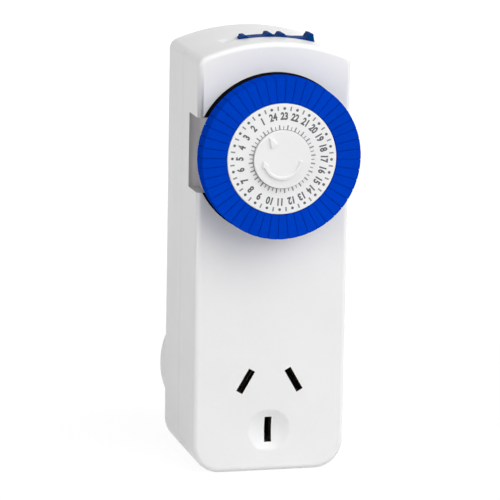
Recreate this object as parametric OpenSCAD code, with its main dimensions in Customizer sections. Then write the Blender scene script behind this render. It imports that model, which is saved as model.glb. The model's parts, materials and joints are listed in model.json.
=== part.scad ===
// Plug-in 24 hour segment timer with a pass-through socket and an override slider.
// X runs to the right as seen from the dial, Y runs into the wall and Z is up.
// The origin is the centre of the pin pattern, on the face that meets the wall outlet.

/* [Case] */
// Width of the case
case_w = 43.2; // [42.8:0.1:44.4]
// Height of the case from its foot to the crown of the arched top
case_h = 120.8; // [120.2:0.2:123]
// Depth of the case from the front face to the rear wall
case_depth = 36; // [35.6:0.2:38]
// Depth of the front shell, from the front face to the seam
seam_depth = 18; // [17.6:0.1:18.6]
// Wall thickness of both shells
wall = 2; // [1.9:0.05:2.1]
// Radius of the arched top
arch_r = 54; // [53:0.5:57]
// Radius where the arch meets the sides
shoulder_r = 3; // [2.6:0.1:4]
// Radius of the two lower corners
foot_r = 8; // [6:0.5:9]
// Height of the pin centre above the foot
pin_rise = 22.1; // [21.8:0.1:22.6]

/* [Finger notches] */
// Height of the notch beside the dial
notch_h = 20.8; // [16:0.4:21.2]
// Depth of the notch behind the front face
notch_depth = 10; // [8:0.2:10]
// How far the notch cuts in from the side
notch_in = 3; // [2.4:0.1:3.2]

/* [Plug] */
// How far the round plug base lies inside the sides of the case
plug_inset = 0.3; // [0.2:0.05:0.8]
// Depth of the plug base behind the rear wall
plug_depth = 8; // [7.8:0.1:8.4]
// Width of a flat pin
pin_w = 6.35; // [6.3:0.01:6.4]
// Thickness of a flat pin
pin_t = 1.6; // [1.57:0.01:1.63]
// Length of the two live pins beyond the plug face
live_len = 17.06; // [16.9:0.02:17.2]
// Length of the earth pin beyond the plug face
earth_len = 19.94; // [19.8:0.02:20.1]
// Length of the insulating sleeves on the live pins
sleeve_len = 8.5; // [8:0.1:9]
// Radius of the circle that the live pins lie on
live_pitch_r = 7.92; // [7.9:0.01:7.94]
// Distance of the earth pin below the pin centre
earth_drop = 10.31; // [10.28:0.01:10.34]

/* [Socket] */
// Length of a socket slot
slot_w = 7.2; // [6.8:0.1:7.4]
// Width of a socket slot
slot_t = 2; // [1.9:0.05:2.1]
// Radius of the dish round the earth slot
dish_r = 6.3; // [5.5:0.1:6.6]
// Depth of that dish
dish_depth = 1.4; // [0.8:0.05:1.45]

/* [Dial] */
// Depth of the dial axis below the crown of the arched top
dial_drop = 30.8; // [30.5:0.1:31.1]
// Outer radius of the ring of tappets
ring_r = 22.3; // [22:0.1:22.6]
// Radius of the number disc
disc_r = 15.3; // [15.1:0.1:15.4]
// Radius of the fixed centre disc
cap_r = 8; // [7.2:0.1:8.6]
// How far the number disc stands out from the front face
disc_proud = 8.7; // [8.6:0.05:8.9]
// How far the ring of tappets stands out from the front face
ring_proud = 8.6; // [8.5:0.05:8.7]
// Gap between neighbouring tappets
tappet_gap = 0.1; // [0.08:0.01:0.16]
// How far a tappet pushes in
tappet_travel = 2; // [1.8:0.05:2]
// Travel of the follower pin behind the dial
follower_travel = 1.6; // [1.4:0.05:1.6]

/* [Override slider] */
// Angle of the curved track about the centre of the arch
track_arc = 28.3; // [28:0.1:28.8]
// How far the middle of the track is turned to the right of the crown
track_turn = 0.7; // [0.4:0.1:1]
// Angle that the slider itself takes up
slider_arc = 22.4; // [22.2:0.1:22.6]
// Width of the track
track_w = 5; // [4.8:0.1:5.2]
// Depth of the track below the arch
track_depth = 0.7; // [0.6:0.05:0.8]
// Height of the grip ridges above the arch
ridge_h = 1; // [0.6:0.1:1.2]
// Distance of the track's middle behind the front face
track_back = 12.4; // [12.2:0.1:12.6]

/* [Gear train] */
// Module of the five fast stages
fine_module = 0.2; // [0.198:0.001:0.2]
// Module of the drive wheel
drive_module = 0.25; // [0.248:0.001:0.25]
// Thickness of a gear wheel
wheel_t = 1; // [0.9:0.05:1]

/* [Motor] */
// Outer radius of the motor can
motor_r = 12.5; // [12.3:0.1:12.6]
// Room between the motor can and the rear wall
motor_room = 7.2; // [7:0.1:7.7]

/* [Fits] */
// Radial clearance of a shaft in its bore
run_fit = 0.05; // [0.04:0.01:0.07]
// Clearance on each side of a sliding piece
slide_fit = 0.15; // [0.1:0.01:0.2]

/* [Hidden] */
HOURS = 24;
function two_digits(n) = n < 10 ? str("0", n) : str(n);
function tappet_node(hour) = str("hour_", two_digits(hour), "_tappets");
$fn = 72;
eps = 0.01;

// Colours
case_white = [0.90, 0.91, 0.92];
dial_white = [0.95, 0.95, 0.95];
blue = [0.01, 0.22, 0.72];
navy = [0.03, 0.13, 0.48];
nylon = [0.86, 0.84, 0.78];
brass = [0.80, 0.65, 0.30];
steel = [0.66, 0.67, 0.69];
dark = [0.12, 0.12, 0.13];
copper = [0.72, 0.38, 0.18];

// Levels along Y
front_y = -(case_depth + plug_depth);
face_in_y = front_y + wall;
seam_y = front_y + seam_depth;
rear_y = -plug_depth;
rear_in_y = rear_y - wall;

// Levels along Z
foot_z = -pin_rise;
crown_z = foot_z + case_h;
arch_z = crown_z - arch_r;
dial_z = crown_z - dial_drop;
plug_r = case_w / 2 - plug_inset;

// Seam: a tongue on the rear shell slides into the front shell
tongue_t = 0.9;
tongue_len = 1.8;
seam_gap = 0.2;

// Chassis plate and the lower contact plate
plate_t = 1.5;
plate_front_y = front_y + 12.5;
plate_back_y = plate_front_y + plate_t;
plate_low_z = 22.5;
plate_top_z = dial_z + ring_r - 9.7;
chassis_half = case_w / 2 - wall - 1;
contact_back_y = front_y + 22.2;
contact_front_y = contact_back_y - plate_t;

// Case screws: x, z of the right-hand screw of each pair
screw_low = [case_w / 2 - 6, plate_low_z + 6.5];
screw_top = [case_w / 2 - 5.4, dial_z + 21.6];
screw_shank_r = 1.25;
screw_head_r = 2.7;
screw_seat_y = rear_y - 2.4;
screw_way = 0.35;
boss_front_r = 2.9;
boss_rear_r = 4.1;

// Chassis rests: posts beside the dial
rest_x = case_w / 2 - 7;
rest_z = dial_z + 11;
rest_r = 2;
rest_peg_r = 0.9;

// Pin pattern: x, z, tilt of each pole, active first
poles = [
    [-live_pitch_r * cos(30), live_pitch_r * sin(30), 30],
    [live_pitch_r * cos(30), live_pitch_r * sin(30), -30],
    [0, -earth_drop, 0]];
ACTIVE = 0;
NEUTRAL = 1;
EARTH = 2;
pin_root_y = rear_y - 5.55;
neck_w = 5.2;
neck_t = 0.9;
clip_t = 0.4;
clip_half_w = 2.8;
clip_gap = 1.7;
clip_front_y = face_in_y + 2;
clip_base_y = contact_front_y - 0.7;
tail_t = 0.6;
tail_end_y = rear_y - 2.4;

// Dial levels
disc_front_y = front_y - disc_proud;
disc_t = 1.6;
ring_front_y = front_y - ring_proud;
head_t = 2.5;
flange_t = 1.2;
flange_front_y = ring_front_y + head_t + tappet_travel + 0.1;
flange_back_y = flange_front_y + flange_t;
flange_r = ring_r - 1.7;
skirt_in_r = ring_r - 1.4;
head_in_r = disc_r + 0.15;
leg_r = ring_r - 3.8;
leg_depth = 1.4;
leg_w = 1.1;
leg_end_y = flange_back_y + 0.2;
skirt_end_y = flange_back_y + 0.3;
half_hours = 2 * HOURS;
tappet_pitch = 360 / half_hours;

// Angles round the dial are clockwise from the top, seen from the front
number_zero_angle = -13.2;
follower_angle = number_zero_angle - 15;
pointer_angle = -32;
post_r = 2.5;
post_bore_r = 1.2;
post_bore_len = 6;
hub_r = 5;
hub_shoulder_r = 6;
hub_hole_r = 6.5;

// Gear train: tooth counts, layers and arbor places relative to the dial axis
pinion_teeth = 8;
wheel_teeth = [50, 60, 64, 64, 64];
drive_teeth = 120;
stages = len(wheel_teeth);
layer_pitch = 1.6;
first_layer_y = plate_front_y - 1;
function layer_back(k) = first_layer_y - layer_pitch * k;
function centres(teeth, m) = m * (pinion_teeth + teeth) / 2;
function step(p, r, a) = [p[0] + r * cos(a), p[1] + r * sin(a)];
function heading(p, q) = atan2(q[1] - p[1], q[0] - p[0]);
rotor_at = [4.2, -0.5];
train_turns = [35, -80, -110, -150];
arbor_1 = step(rotor_at, centres(wheel_teeth[0], fine_module), train_turns[0]);
arbor_2 = step(arbor_1, centres(wheel_teeth[1], fine_module), train_turns[1]);
arbor_3 = step(arbor_2, centres(wheel_teeth[2], fine_module), train_turns[2]);
arbor_4 = step(arbor_3, centres(wheel_teeth[3], fine_module), train_turns[3]);
// The last arbor lies where two centre distances meet: to arbor 4 and to the dial axis
drive_centres = centres(drive_teeth, drive_module);
last_centres = centres(wheel_teeth[4], fine_module);
arbor_4_r = norm(arbor_4);
arbor_5_turn = acos((pow(arbor_4_r, 2) + pow(drive_centres, 2) - pow(last_centres, 2))
                    / (2 * arbor_4_r * drive_centres));
arbor_5 = step([0, 0], drive_centres, heading([0, 0], arbor_4) - arbor_5_turn);
arbors = [rotor_at, arbor_1, arbor_2, arbor_3, arbor_4, arbor_5, [0, 0]];
stud_r = 0.3;
stud_shoulder_r = 0.45;
drive_back_y = layer_back(stages);
drive_front_y = drive_back_y - wheel_t;
spring_t = 0.35;
spring_r = 8.4;
hub_end_y = drive_back_y + 0.9;

// Motor levels
cover_t = 0.8;
motor_z = dial_z + rotor_at[1];
cover_back_y = plate_back_y + cover_t;
can_back_y = rear_in_y - motor_room;
can_t = 0.8;
claws = 12;
claw_in_r = 5.6;
claw_t = 0.7;
claw_w = 1.1;
magnet_r = 5.2;
shaft_r = 0.45;
shaft_way_r = 1.4;
bobbin_in_r = 6.6;
bobbin_out_r = motor_r - can_t - 0.3;
bobbin_front_y = cover_back_y + 0.3;
bobbin_back_y = can_back_y - can_t - 0.3;

// Switch: both leaves turn about one upright line at the terminal
leaf_x = 8.6;
leaf_front_y = front_y + 12.8;
leaf_t = 0.3;
leaf_y = leaf_front_y + leaf_t / 2;
leaf_end_x = -12.4;
leaf_curl_r = 0.6;
rivet_x = -11.3;
rivet_r = 1.1;
rivet_h = 0.5;
leaf_band = 4;
follower_x = leg_r * sin(follower_angle);
follower_z = dial_z + leg_r * cos(follower_angle);
follower_r = 1.2;
nose_r = 0.45;
guide_r = 2.3;
guide_len = 5;
collar_r = 1.9;
collar_t = 0.8;
timer_leaf_z = follower_z;
override_leaf_z = follower_z + 5.9;
nose_x = 0.4;
wedge_rise = 0.9;
// Angles that each leaf turns through when its driver moves its full travel
timer_leaf_angle = follower_travel / (leaf_x - follower_x) * 180 / PI;
override_leaf_angle = wedge_rise / (leaf_x - nose_x) * 180 / PI;
strip_t = 0.6;
fixed_front_y = front_y + 16.1;
fixed_x = -11.3;
fixed_w = 2.2;
contact_gap_closed = 0.17;
function closed_rivet_y(angle) =
    leaf_front_y + leaf_t + rivet_h + (leaf_x - rivet_x) * sin(angle) + contact_gap_closed;

// Override slider
track_y = front_y + track_back;
slide_travel_angle = track_arc - slider_arc - 0.4;
track_right = track_turn + track_arc / 2;
slider_right = track_right - 0.2;
slider_left = slider_right - slider_arc;
slider_half_y = track_w / 2 - slide_fit;
slider_plate_t = 0.7;
slider_floor_r = arch_r - track_depth + 0.1;
slider_leg_y = 1;
slider_leg_angle = 3;
slider_leg_half = 4;
leg_way_angle = 0.4;
// Grip ridges: angle of peak, left foot and right foot from the slider's left end, and share of the height
slider_ridges = [
    [1.1, 0, 2.8, 0.75],
    [8.5, 7.4, 10.6, 1],
    [12.4, 11.1, 14.4, 1],
    [slider_arc - 2.2, 12.8, slider_arc - 0.3, 0.6],
    [slider_arc - 1.5, slider_arc - 2.9, slider_arc, 2.1]];
slider_foot_r = arch_r - wall - 0.15;
slider_foot_t = 1;
slider_foot_y = 1.8;
cam_low_z = override_leaf_z - 2;

// ---- Helpers ----

// Extrudes a shape drawn in X and Z along Y, from y0 to y1
module along_y(y0, y1) {
    translate([0, y1, 0]) rotate([90, 0, 0]) linear_extrude(y1 - y0) children();
}

// A bar along Y at x, z
module rod(r, y0, y1, x = 0, z = 0) {
    along_y(y0, y1) translate([x, z]) circle(r);
}

// A box given by its two far corners
module block(low, high) {
    translate(low) cube(high - low);
}

// Places drawn-in-XZ shapes at an angle clockwise from the top of the dial
module at_dial(angle) {
    translate([0, 0, dial_z]) rotate([0, angle, 0]) children();
}

// Places a shape at one pole, upright blade along its own Z
module at_pole(i) {
    translate([poles[i][0], 0, poles[i][1]]) rotate([0, poles[i][2], 0]) children();
}

// Mirrors a shape to both sides of the case
module both_sides() {
    for (side = [0, 1]) mirror([side, 0, 0]) children();
}

// A pie slice in the plane, between two angles clockwise from the top
module slice(r, from, to) {
    far = r * 1.5;
    middle = (from + to) / 2;
    polygon([[0, 0], [far * sin(from), far * cos(from)],
             [far * 1.2 * sin(middle), far * 1.2 * cos(middle)], [far * sin(to), far * cos(to)]]);
}

// A curved bar between two radii and two angles clockwise from the top
module arc_bar(r_in, r_out, from, to) {
    intersection() {
        difference() {
            circle(r_out, $fn = 180);
            circle(r_in, $fn = 180);
        }
        slice(r_out, from, to);
    }
}

// Places a curved shape about the centre of the arch, at a level along Y
module on_arch(y0, y1) {
    along_y(y0, y1) translate([0, arch_z]) children();
}

// ---- Case ----

// What a rounded corner takes off: a wedge from the corner's centre, less its circle
module corner_cut(centre, r, from, to) {
    reach = 20;
    middle = (from + to) / 2;
    translate(centre) difference() {
        polygon([[0, 0], [reach * cos(from), reach * sin(from)],
                 [1.5 * reach * cos(middle), 1.5 * reach * sin(middle)], [reach * cos(to), reach * sin(to)]]);
        circle(r);
    }
}

// Outline of the case seen from the front, moved inwards by inset
module case_outline(inset = 0) {
    half = case_w / 2 - inset;
    shoulder_x = case_w / 2 - shoulder_r;
    shoulder_rise = sqrt(pow(arch_r - shoulder_r, 2) - pow(shoulder_x, 2));
    lean = atan2(shoulder_rise, shoulder_x);
    difference() {
        intersection() {
            translate([-half, foot_z + inset]) square([2 * half, case_h]);
            union() {
                translate([0, arch_z]) circle(arch_r - inset, $fn = 180);
                translate([-case_w, foot_z]) square([2 * case_w, arch_z - foot_z]);
            }
        }
        for (side = [0, 1]) mirror([side, 0]) {
            corner_cut([shoulder_x, arch_z + shoulder_rise], shoulder_r - inset, 0, lean);
            corner_cut([case_w / 2 - foot_r, foot_z + foot_r], foot_r - inset, -90, 0);
        }
    }
}

module notch(extra = 0) {
    half = notch_h / 2 + extra;
    both_sides() block([case_w / 2 - notch_in - extra, front_y - 1, dial_z - half],
                       [case_w / 2 + 1 - 2 * extra, front_y + notch_depth + extra, dial_z + half]);
}

module slot_opening(i, y0, y1) {
    at_pole(i) block([-slot_t / 2, y0, -slot_w / 2], [slot_t / 2, y1, slot_w / 2]);
}

module front_housing() {
    liner = 1.5;
    dish_sphere_r = (pow(dish_r, 2) + pow(dish_depth, 2)) / (2 * dish_depth);
    color(case_white) difference() {
        union() {
            difference() {
                along_y(front_y, seam_y) case_outline();
                along_y(face_in_y, seam_y + eps) case_outline(wall);
            }
            // Walls round the finger notches
            intersection() {
                along_y(front_y, seam_y) case_outline();
                both_sides() block([case_w / 2 - notch_in - liner, front_y, dial_z - notch_h / 2 - liner],
                                   [case_w / 2, front_y + notch_depth + liner, dial_z + notch_h / 2 + liner]);
            }
            both_sides() {
                rod(boss_front_r, face_in_y - eps, plate_front_y, screw_low[0], screw_low[1]);
                rod(boss_front_r, face_in_y - eps, seam_y, screw_top[0], screw_top[1]);
                rod(rest_r, face_in_y - eps, plate_front_y, rest_x, rest_z);
                rod(rest_peg_r, plate_front_y - eps, plate_back_y + 0.6, rest_x, rest_z);
            }
            // Guide for the follower pin
            rod(guide_r, face_in_y - eps, face_in_y + guide_len, follower_x, follower_z);
        }
        notch();
        // Rebate that takes the rear shell's tongue
        along_y(seam_y - tongue_len - seam_gap, seam_y + eps) difference() {
            case_outline(wall - tongue_t - seam_gap);
            case_outline(wall + eps);
        }
        rod(hub_hole_r, front_y - 1, face_in_y + 1, 0, dial_z);
        rod(follower_r + run_fit, front_y - 1, face_in_y + guide_len + 1, follower_x, follower_z);
        for (i = [ACTIVE, NEUTRAL, EARTH]) slot_opening(i, front_y - 1, face_in_y + 1);
        translate([0, front_y + dish_depth - dish_sphere_r, -earth_drop]) sphere(dish_sphere_r, $fn = 120);
        // Screw pilots
        both_sides() {
            rod(screw_shank_r + run_fit, face_in_y + 2, seam_y, screw_low[0], screw_low[1]);
            rod(screw_shank_r + run_fit, face_in_y + 2, seam_y + 1, screw_top[0], screw_top[1]);
        }
        // Curved track and the slot in its floor
        on_arch(track_y - track_w / 2, track_y + track_w / 2)
            arc_bar(arch_r - track_depth, arch_r + 2, track_right - track_arc, track_right);
        on_arch(track_y - slider_leg_y - slide_fit, track_y + slider_leg_y + slide_fit)
            arc_bar(arch_r - wall - 1, arch_r,
                    slider_leg_angle - slider_leg_half - slide_travel_angle - leg_way_angle,
                    slider_leg_angle + slider_leg_half + leg_way_angle);
    }
}

module rear_housing() {
    color(case_white) difference() {
        union() {
            difference() {
                union() {
                    along_y(seam_y + 0.05, rear_y) case_outline();
                    along_y(seam_y - tongue_len, seam_y + 1) case_outline(wall - tongue_t);
                    rod(plug_r, rear_y - 1, 0);
                }
                along_y(seam_y - tongue_len - eps, rear_in_y) case_outline(wall);
                rod(plug_r - wall, rear_in_y - 1, -wall);
            }
            intersection() {
                along_y(seam_y, rear_y) case_outline();
                both_sides() {
                    rod(boss_rear_r, plate_back_y + 0.05, rear_y - 1, screw_low[0], screw_low[1]);
                    rod(boss_rear_r, seam_y + 0.05, rear_y - 1, screw_top[0], screw_top[1]);
                }
            }
            // The lower bosses reach forward past the seam to clamp the chassis
            both_sides() rod(boss_front_r, plate_back_y + 0.05, seam_y + 1, screw_low[0], screw_low[1]);
        }
        both_sides() for (s = [screw_low, screw_top]) {
            rod(screw_shank_r + screw_way, plate_back_y - 1, rear_y + 1, s[0], s[1]);
            rod(screw_head_r + 0.3, screw_seat_y, rear_y + 1, s[0], s[1]);
        }
        for (i = [ACTIVE, NEUTRAL, EARTH])
            at_pole(i) block([-pin_t / 2 - 0.03, -wall - 1, -pin_w / 2 - 0.03],
                             [pin_t / 2 + 0.03, 1, pin_w / 2 + 0.03]);
    }
}

module housing_screws() {
    head_t = 1.5;
    color(steel) both_sides() for (s = [screw_low, screw_top]) difference() {
        union() {
            rod(screw_head_r, screw_seat_y, screw_seat_y + head_t, s[0], s[1]);
            rod(screw_shank_r, face_in_y + 4, screw_seat_y + 0.1, s[0], s[1]);
        }
        // Cross recess
        for (turn = [0, 90]) translate([s[0], 0, s[1]]) rotate([0, turn, 0])
            block([-1.3, screw_seat_y + head_t - 0.8, -0.3], [1.3, screw_seat_y + head_t + 1, 0.3]);
    }
}

// ---- Plug and socket ----

// One blade with a narrower neck where its sleeve sits, and its root behind the plug face
module blade(i, length, neck) {
    tip = 1.2;
    at_pole(i) difference() {
        translate([-pin_t / 2, 0, 0]) rotate([90, 0, 90]) linear_extrude(pin_t)
            polygon([[pin_root_y, -pin_w / 2], [length - tip, -pin_w / 2], [length, -pin_w / 2 + tip],
                     [length, pin_w / 2 - tip], [length - tip, pin_w / 2], [pin_root_y, pin_w / 2]]);
        if (neck > 0) difference() {
            block([-pin_t, 0, -pin_w], [pin_t, neck, pin_w]);
            block([-neck_t / 2, -1, -neck_w / 2], [neck_t / 2, neck + 1, neck_w / 2]);
        }
    }
}

module live_pins() {
    color(brass) for (i = [ACTIVE, NEUTRAL]) blade(i, live_len, sleeve_len);
}

module earth_pin() {
    color(brass) blade(EARTH, earth_len, 0);
}

module pin_sleeves() {
    color(dark) for (i = [ACTIVE, NEUTRAL]) at_pole(i) difference() {
        block([-pin_t / 2, 0.02, -pin_w / 2], [pin_t / 2, sleeve_len - 0.02, pin_w / 2]);
        block([-neck_t / 2 - 0.02, -1, -neck_w / 2 - 0.02],
              [neck_t / 2 + 0.02, sleeve_len + 1, neck_w / 2 + 0.02]);
    }
}

module pin_block() {
    color(nylon) difference() {
        rod(plug_r - wall - 0.15, rear_in_y + 0.4, -wall - 0.05);
        for (i = [ACTIVE, NEUTRAL, EARTH])
            at_pole(i) block([-pin_t / 2 - 0.02, rear_in_y - 1, -pin_w / 2 - 0.02],
                             [pin_t / 2 + 0.02, 1, pin_w / 2 + 0.02]);
        // Relief behind, where the strips meet the blade roots
        for (i = [NEUTRAL, EARTH])
            at_pole(i) block([0, rear_in_y - 1, -2.4], [pin_t / 2 + tail_t + 0.4, tail_end_y + 0.3, 2.4]);
    }
}

// Spring clip behind one socket slot: two leaves joined by a base
module clip(i) {
    at_pole(i) {
        for (side = [-1, 1]) {
            inner = side * clip_gap / 2;
            outer = side * (clip_gap / 2 + clip_t);
            block([min(inner, outer), clip_front_y, -clip_half_w],
                  [max(inner, outer), clip_base_y, clip_half_w]);
        }
        block([-clip_gap / 2 - clip_t, clip_base_y - 0.05, -clip_half_w],
              [clip_gap / 2 + clip_t, clip_base_y + tail_t, clip_half_w]);
    }
}

// The strip from a clip's base back along the blade's flat
module clip_tail(i) {
    at_pole(i) block([pin_t / 2 + 0.05, clip_base_y, -2], [pin_t / 2 + 0.05 + tail_t, tail_end_y, 2]);
}

module active_clip() {
    color(brass) clip(ACTIVE);
}

module neutral_clip() {
    color(brass) {
        clip(NEUTRAL);
        clip_tail(NEUTRAL);
    }
}

module earth_clip() {
    color(brass) {
        clip(EARTH);
        clip_tail(EARTH);
    }
}

// ---- Inner chassis ----

module motor_hook(angle) {
    r_in = motor_r + 0.1;
    arm = 1.6;
    half = 2;
    translate([rotor_at[0], 0, motor_z]) rotate([0, -angle, 0]) {
        block([r_in, plate_back_y - eps, -half], [r_in + arm, can_back_y + 1, half]);
        block([r_in - 1, can_back_y + 0.1, -half], [r_in + eps, can_back_y + 1, half]);
    }
}

module inner_chassis() {
    hook_angles = [30, 150, 270];
    color(nylon) difference() {
        union() {
            // Upper plate with the gear studs
            along_y(plate_front_y, plate_back_y) translate([-chassis_half, plate_low_z])
                square([2 * chassis_half, plate_top_z - plate_low_z]);
            // Step back to the contact plate
            block([-chassis_half, plate_front_y, plate_low_z],
                  [chassis_half, contact_back_y, plate_low_z + plate_t]);
            along_y(contact_front_y, contact_back_y) intersection() {
                case_outline(wall + 1);
                translate([-case_w, foot_z]) square([2 * case_w, plate_low_z + plate_t - foot_z]);
            }
            for (angle = hook_angles) motor_hook(angle);
            // Post behind the terminal block
            block([leaf_x + 1.9, plate_front_y, plate_top_z - 1],
                  [leaf_x + 4.2, front_y + 17, override_leaf_z + 3.4]);
            // Arm behind the fixed contact
            block([fixed_x - 1.7, plate_front_y, plate_top_z - 4.5],
                  [fixed_x + 1.8, seam_y - 0.2, plate_top_z - eps]);
            block([fixed_x - 1.7, fixed_front_y + strip_t, plate_top_z - 2],
                  [fixed_x + 1.8, seam_y - 0.2, override_leaf_z + 3.4]);
        }
        rod(post_r, plate_front_y - 1, plate_back_y + 1, 0, dial_z);
        rod(shaft_way_r, plate_front_y - 1, plate_back_y + 1, rotor_at[0], motor_z);
        for (k = [1:stages])
            rod(stud_r, plate_front_y - 1, plate_back_y + 1, arbors[k][0], dial_z + arbors[k][1]);
        both_sides() {
            rod(screw_shank_r + screw_way, plate_front_y - 1, plate_back_y + 1, screw_low[0], screw_low[1]);
            rod(rest_peg_r + run_fit, plate_front_y - 1, plate_back_y + 1, rest_x, rest_z);
            // Clear of the case's upper bosses at the plate's corners
            rod(boss_front_r + 0.3, plate_front_y - 1, plate_back_y + 1, screw_top[0], screw_top[1]);
        }
        // Way for the fixed contact strip, down through the arm and the step
        block([fixed_x - fixed_w / 2 - 0.1, fixed_front_y - 0.1, 0],
              [fixed_x + fixed_w / 2 + 0.1, fixed_front_y + strip_t + 0.05, plate_top_z + 1]);
        // Ways for the clip tails
        for (i = [NEUTRAL, EARTH])
            at_pole(i) block([pin_t / 2 - 0.1, contact_front_y - 1, -2.2],
                             [pin_t / 2 + tail_t + 0.2, contact_back_y + 1, 2.2]);
        // Way for the coil lead past the step
        block([coil_exit_x - 1, contact_back_y - 4, plate_low_z - 1],
              [coil_exit_x + 1, contact_back_y + 1, plate_low_z + 3]);
    }
}

// ---- Switch ----

module leaf(z, with_nose) {
    color(brass) {
        block([leaf_end_x, leaf_front_y, z - leaf_band / 2],
              [leaf_x, leaf_front_y + leaf_t, z + leaf_band / 2]);
        translate([leaf_x, leaf_y, z - leaf_band / 2]) cylinder(r = leaf_curl_r, h = leaf_band);
        rod(rivet_r, leaf_front_y + leaf_t - eps, leaf_front_y + leaf_t + rivet_h, rivet_x, z);
        if (with_nose) translate([nose_x, 0, z - 0.5]) {
            block([-0.4, leaf_front_y - wedge_rise + 0.4, 0], [0.4, leaf_front_y + eps, 1]);
            translate([0, leaf_front_y - wedge_rise + 0.4, 0]) cylinder(r = 0.4, h = 1);
        }
    }
}

module timer_leaf() {
    leaf(timer_leaf_z, false);
}

module override_leaf() {
    leaf(override_leaf_z, true);
}

module fixed_contact() {
    low = poles[ACTIVE][1] - 2;
    color(brass) {
        block([fixed_x - fixed_w / 2, fixed_front_y, low],
              [fixed_x + fixed_w / 2, fixed_front_y + strip_t, override_leaf_z + 2.8]);
        for (pair = [[timer_leaf_z, timer_leaf_angle], [override_leaf_z, override_leaf_angle]])
            rod(rivet_r, closed_rivet_y(pair[1]), fixed_front_y + eps, fixed_x, pair[0]);
        // Back to the active clip's base
        block([fixed_x - fixed_w / 2, fixed_front_y, low],
              [fixed_x + fixed_w / 2, contact_front_y - 0.05, low + strip_t]);
        block([fixed_x - fixed_w / 2, clip_base_y + tail_t, low],
              [poles[ACTIVE][0] + 1, contact_front_y - 0.05, poles[ACTIVE][1] + 2]);
    }
}

module follower_pin() {
    collar_y = face_in_y + guide_len + 0.1;
    color(nylon) {
        rod(nose_r, leg_end_y + 0.4, front_y + 0.6, follower_x, follower_z);
        rod(follower_r, front_y + 0.5, leaf_front_y - 0.8, follower_x, follower_z);
        rod(nose_r, leaf_front_y - 0.9, leaf_front_y - 0.06, follower_x, follower_z);
        rod(collar_r, collar_y, collar_y + collar_t, follower_x, follower_z);
    }
}

// Strip from the active pin up behind the motor to the terminal block of the leaves
module supply_strip() {
    back_y = pin_root_y - 0.05;
    strip_half = 1.5;
    turn_z = plate_top_z + 3.6;
    side_x = leaf_x + 1.2;
    terminal = [leaf_x - 1.2, leaf_x + 1.8];
    terminal_low = timer_leaf_z - 2.4;
    terminal_high = override_leaf_z + 2.4;
    color(brass) {
        difference() {
            union() {
                // Foot, riser and top run
                block([poles[ACTIVE][0] - 1, back_y - strip_t, 2], [strip_half, back_y, 5]);
                block([-strip_half, back_y - strip_t, 2], [strip_half, back_y, turn_z + 3]);
                block([-strip_half, back_y - strip_t, turn_z], [side_x + strip_t, back_y, turn_z + 3]);
                // Forward arm to the terminal block
                block([side_x, leaf_y, turn_z], [side_x + strip_t, back_y, turn_z + 3]);
                block([terminal[0], leaf_y - 1.4, terminal_low], [terminal[1], leaf_y + 1.4, terminal_high]);
            }
            // Seats for the curled ends of both leaves, open towards the contacts
            for (z = [timer_leaf_z, override_leaf_z]) translate([leaf_x, leaf_y, z - leaf_band / 2 - 0.1]) {
                cylinder(r = leaf_curl_r + run_fit, h = leaf_band + 0.2);
                translate([-5, -0.45, 0]) cube([5, 0.9, leaf_band + 0.2]);
            }
        }
        // Tab against the flat of the active blade
        at_pole(ACTIVE) block([pin_t / 2 + 0.05, back_y - strip_t, -2], [pin_t / 2 + 0.05 + strip_t, tail_end_y, 2]);
    }
}

module slider_ridge(peak, left, right, height) {
    outer = arch_r + height;
    seat = arch_r - 0.2;
    polygon([[seat * sin(left), seat * cos(left)], [outer * sin(peak - 0.5), outer * cos(peak - 0.5)],
             [outer * sin(peak + 0.5), outer * cos(peak + 0.5)], [seat * sin(right), seat * cos(right)]]);
}

module override_slider() {
    cam_x = nose_x - 0.6;
    cam_run = 5.8;
    cam_front_y = leaf_front_y - wedge_rise - 1.2;
    cam_low_y = leaf_front_y - wedge_rise - 0.05;
    cam_high_y = leaf_front_y - 0.05;
    slope_run = (override_leaf_z - arch_z) * sin(slide_travel_angle);
    color(navy) {
        on_arch(track_y - slider_half_y, track_y + slider_half_y) {
            arc_bar(slider_floor_r, slider_floor_r + slider_plate_t, slider_left, slider_right);
            for (r = slider_ridges) slider_ridge(slider_left + r[0], slider_left + r[1], slider_left + r[2],
                                                 ridge_h * r[3]);
        }
        on_arch(track_y - slider_leg_y, track_y + slider_leg_y)
            arc_bar(slider_foot_r - slider_foot_t, slider_floor_r + eps,
                    slider_leg_angle - slider_leg_half, slider_leg_angle + slider_leg_half);
        on_arch(track_y - slider_foot_y, track_y + slider_foot_y)
            arc_bar(slider_foot_r - slider_foot_t, slider_foot_r,
                    slider_leg_angle - slider_leg_half, slider_leg_angle + slider_leg_half);
        // Cam plate: its sloping back pushes the override leaf's nose
        translate([0, 0, cam_low_z]) linear_extrude(arch_z + slider_foot_r - slider_foot_t + 0.5 - cam_low_z)
            polygon([[cam_x, cam_front_y], [cam_x + cam_run + 0.8, cam_front_y],
                     [cam_x + cam_run + 0.8, cam_high_y], [nose_x + slope_run + 0.5, cam_high_y],
                     [nose_x + 0.3, cam_low_y], [cam_x, cam_low_y]]);
    }
}

// ---- Motor ----

module claw_ring(start, y0, y1) {
    for (k = [0:claws - 1]) translate([rotor_at[0], 0, motor_z]) rotate([0, start + k * 360 / claws, 0])
        block([-claw_w / 2, y0, claw_in_r], [claw_w / 2, y1, claw_in_r + claw_t]);
}

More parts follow.
